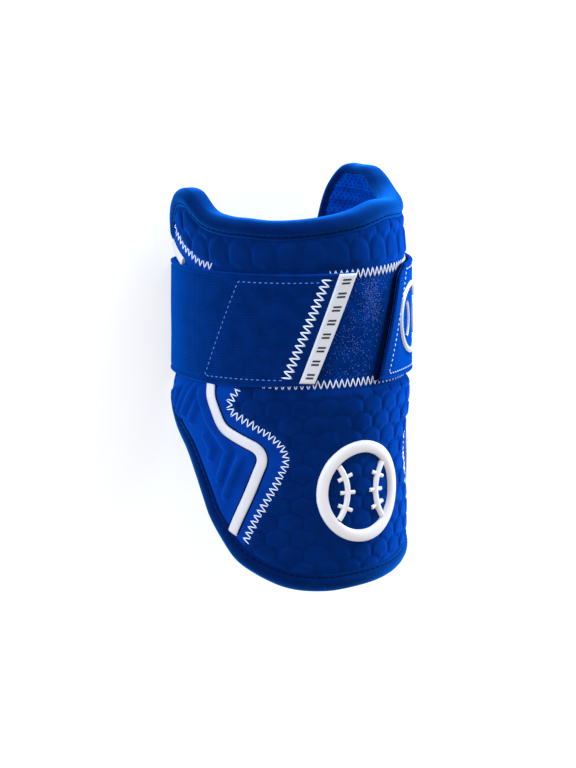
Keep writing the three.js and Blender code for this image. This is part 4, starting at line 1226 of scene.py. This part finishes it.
def padded_sheet(name, region, box, step, faces, made_of, node, slot):
    """A padded cover, pad or lining, in a box of degrees round the arm and heights."""
    left, right, low, high = box
    box = (left * DEGREE, right * DEGREE, low, high)
    piece = closed_sheet(name, region, box, step, *faces, made_of)
    finished(piece, node, slot=slot)


def beside_band(x):
    return (x < BAND_LEFT) | (x > BAND_RIGHT)


def below_band(x, y):
    """How far below the band's lower edge, or below a line under the strap beside the band."""
    return np.where(beside_band(x), STRAP_BOTTOM + 2, BAND_LOW - 0.1) - y


def above_band(x, y):
    return y - np.where(beside_band(x), STRAP_TOP - 2, BAND_HIGH + 0.1)


make_camera()
floor_and_light()

# Finishes
front_cloth = knitted("front_cloth", linear(2, 25, 71), linear(4, 32, 87), pitch=0.95, depth=0.07,
                      roughness=0.5, sheen=1.0, tint=linear(16, 112, 250))
side_cloth = knitted("side_cloth", linear(3, 43, 118), linear(6, 54, 141), pitch=0.7, depth=0.04,
                     roughness=0.42, sheen=0.8, tint=linear(18, 118, 252))
tape_cloth = knitted("tape_cloth", linear(2, 15, 57), linear(4, 23, 75), pitch=0.8, depth=0.05,
                     roughness=0.4, sheen=1.0, tint=linear(24, 136, 255))
elastic = woven_elastic()
band_cloth = loop_cloth()
mesh_cloth = lining_cloth()
white_rubber = plain_surface("white_rubber", linear(228, 221, 219), 0.42, 0.6, 0.03, 0.02)
stripe_white = plain_surface("stripe_white", linear(208, 203, 202), 0.45, 0.5, 0.03, 0.02)
outline_navy = plain_surface("outline_navy", linear(0, 16, 66), 0.6, 0.5, 0.03, Specular_IOR_Level=0.02)
label_grey = plain_surface("label_grey", linear(206, 204, 204), 0.5, 0.4, 0.04, 0.02)
label_ink = plain_surface("label_ink", linear(22, 26, 48), 0.5, 0.4, 0.02)
silver = plain_surface("silver_print", linear(196, 198, 204), 0.34, 0.5, 0.03, 0.05, Metallic=0.85)
thread_white = plain_surface("thread_white", linear(228, 232, 242), 0.6, 0.25, 0.05, 0.04)
thread_pale = plain_surface("thread_pale", linear(70, 120, 205), 0.6, 0.25, 0.05, 0.05)
fluff = plain_surface("fluff", linear(110, 150, 225), 0.7, 0.25, 0.03, 0.05)
thread_navy = plain_surface("thread_navy", linear(0, 14, 62), 0.7, 0.25, 0.05, Specular_IOR_Level=0.02)
foam = plain_surface("foam", linear(4, 20, 66), 0.85, 0.7, 0.15, Specular_IOR_Level=0.05)
# Dark hook cloth: partly its own colour, partly painted shade for the shadow under the strap's lifted free
# end.
hook_cloth_and_shade = plain_surface("hook_cloth_and_shade", linear(1, 10, 40), 0.8, 0.5, 0.3, Specular_IOR_Level=0.02)
STITCH_TREE = stitch_tree()

# Padded pieces
cover = (skin, level(PANEL_BOTTOM))
padded_sheet("front_cover_lower", minus_sides(below_band), (-70, 96, 3, 99), 0.7, cover, front_cloth,
             "front_panel_lower", "front_fabric")
padded_sheet("front_cover_upper", minus_sides(above_band), (-122, 122, 142, 182), 0.8, cover, front_cloth,
             "front_panel_upper", "front_fabric")
padded_sheet("side_cover_left", side_region(-1), (-128, -36, 6, 178), 0.8, cover, side_cloth,
             "side_panel_left", "side_fabric")
padded_sheet("side_cover_right", side_region(1), (36, 128, 6, 178), 0.8, cover, side_cloth,
             "side_panel_right", "side_fabric")
padded_sheet("foam_pad", inside_outline(PAD_INSET), (-128, 128, 0, LENGTH), 2.5,
             (level(CORE_FACE), level(CORE_BACK)), foam, "padded_shell", "padding")
tape = edge_tape(tape_cloth)
finished(tape, "edge_binding", slot="binding")
padded_sheet("mesh_lining", inside_outline(LINING_INSET), (-128, 128, 1, LENGTH - 1), 1.1,
             (level(LINING_FACE), lining_face), mesh_cloth, "liner", "lining")

# Sheets
band_box = (BAND_LEFT - 1, BAND_RIGHT + 1, BAND_LOW - 1, BAND_HIGH + 1)
band = closed_sheet("loop_band", band_distance, band_box, 0.9, skin, level(PANEL_BOTTOM), band_cloth)
finished(band, "loop_patch", slot="loop_fabric")
strap = elastic_strap(elastic, hook_cloth_and_shade)
finished(strap, "strap", slot="elastic")
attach(loop_fibres(fluff), "root")

# Stripes
for side, word in ((-1, "left"), (1, "right")):
    for table, node in ((STRIPE, "stripe_" + word), (STRIPE_UPPER, "stripe_" + word + "_upper")):
        line = evenly(smooth_curve(placed(table), False), 1.0, False)
        if side > 0:
            line = mirrored(line)
        finished(bar("stripe_edge_" + node, line, STRIPE_EDGE_WIDTH, *STRIPE_EDGE_LEVELS, outline_navy,
                     tuck=True))
        stripe = bar(node + "_band", line, STRIPE_WIDTH, *STRIPE_LEVELS, stripe_white, tuck=True)
        finished(stripe, node, slot="white_film")

# Motifs and label
finished(front_ball(white_rubber), "front_emblem", slot="white_film")
finished(flap_ring(silver), "flap_emblem", slot="silver_film")
label = slab_on_label("label_tab", (0, 1), (0, 1), LABEL_BASE, LABEL_FACE, 24, 80, label_grey)
finished(label, "strap_label", slot="label")
finished(label_marks(label_ink))

# Seams
seams = []
for start, height in BAND_SEAMS:
    across = np.linspace(start * DEGREE, BAND_RIGHT, 40)
    seams.append(on_guard(np.stack([across, np.full(40, height)], axis=1), 0.05, offset=-1.0))
for side in (-1, 1):
    for table in (SIDE_EDGE_BELOW[:-1], SIDE_EDGE_ABOVE[1:]):
        line = placed(table)
        seams.append(on_guard(line if side < 0 else mirrored(line), 0.12))
stitches("seam_zigzags", seams, thread_white, pitch=1.45, length=5.0, radius=0.3, slant=72)
stitches("strap_zigzag", [on_strap(SEWN_SEAM, 0.1)], thread_white, pitch=1.57, length=5.4, radius=0.42,
         slant=72)
stitches("box_stitches", [on_strap(BOX_SEAM, 0.0)], thread_pale, pitch=2.6, length=1.7, radius=0.26)
stitches("flap_stitches", [on_strap(FLAP_SEAM, 0.0)], thread_white, pitch=2.4, length=1.5, radius=0.28)
tape_stitches(thread_navy)
tape_stitches(thread_navy, outer=False)

# Carried-over solid
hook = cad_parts["hook_tab"]
# The hook tab takes the dark hook cloth, partly painted shade under the lifted free end.
hook.data.materials.clear()
hook.data.materials.append(hook_cloth_and_shade)
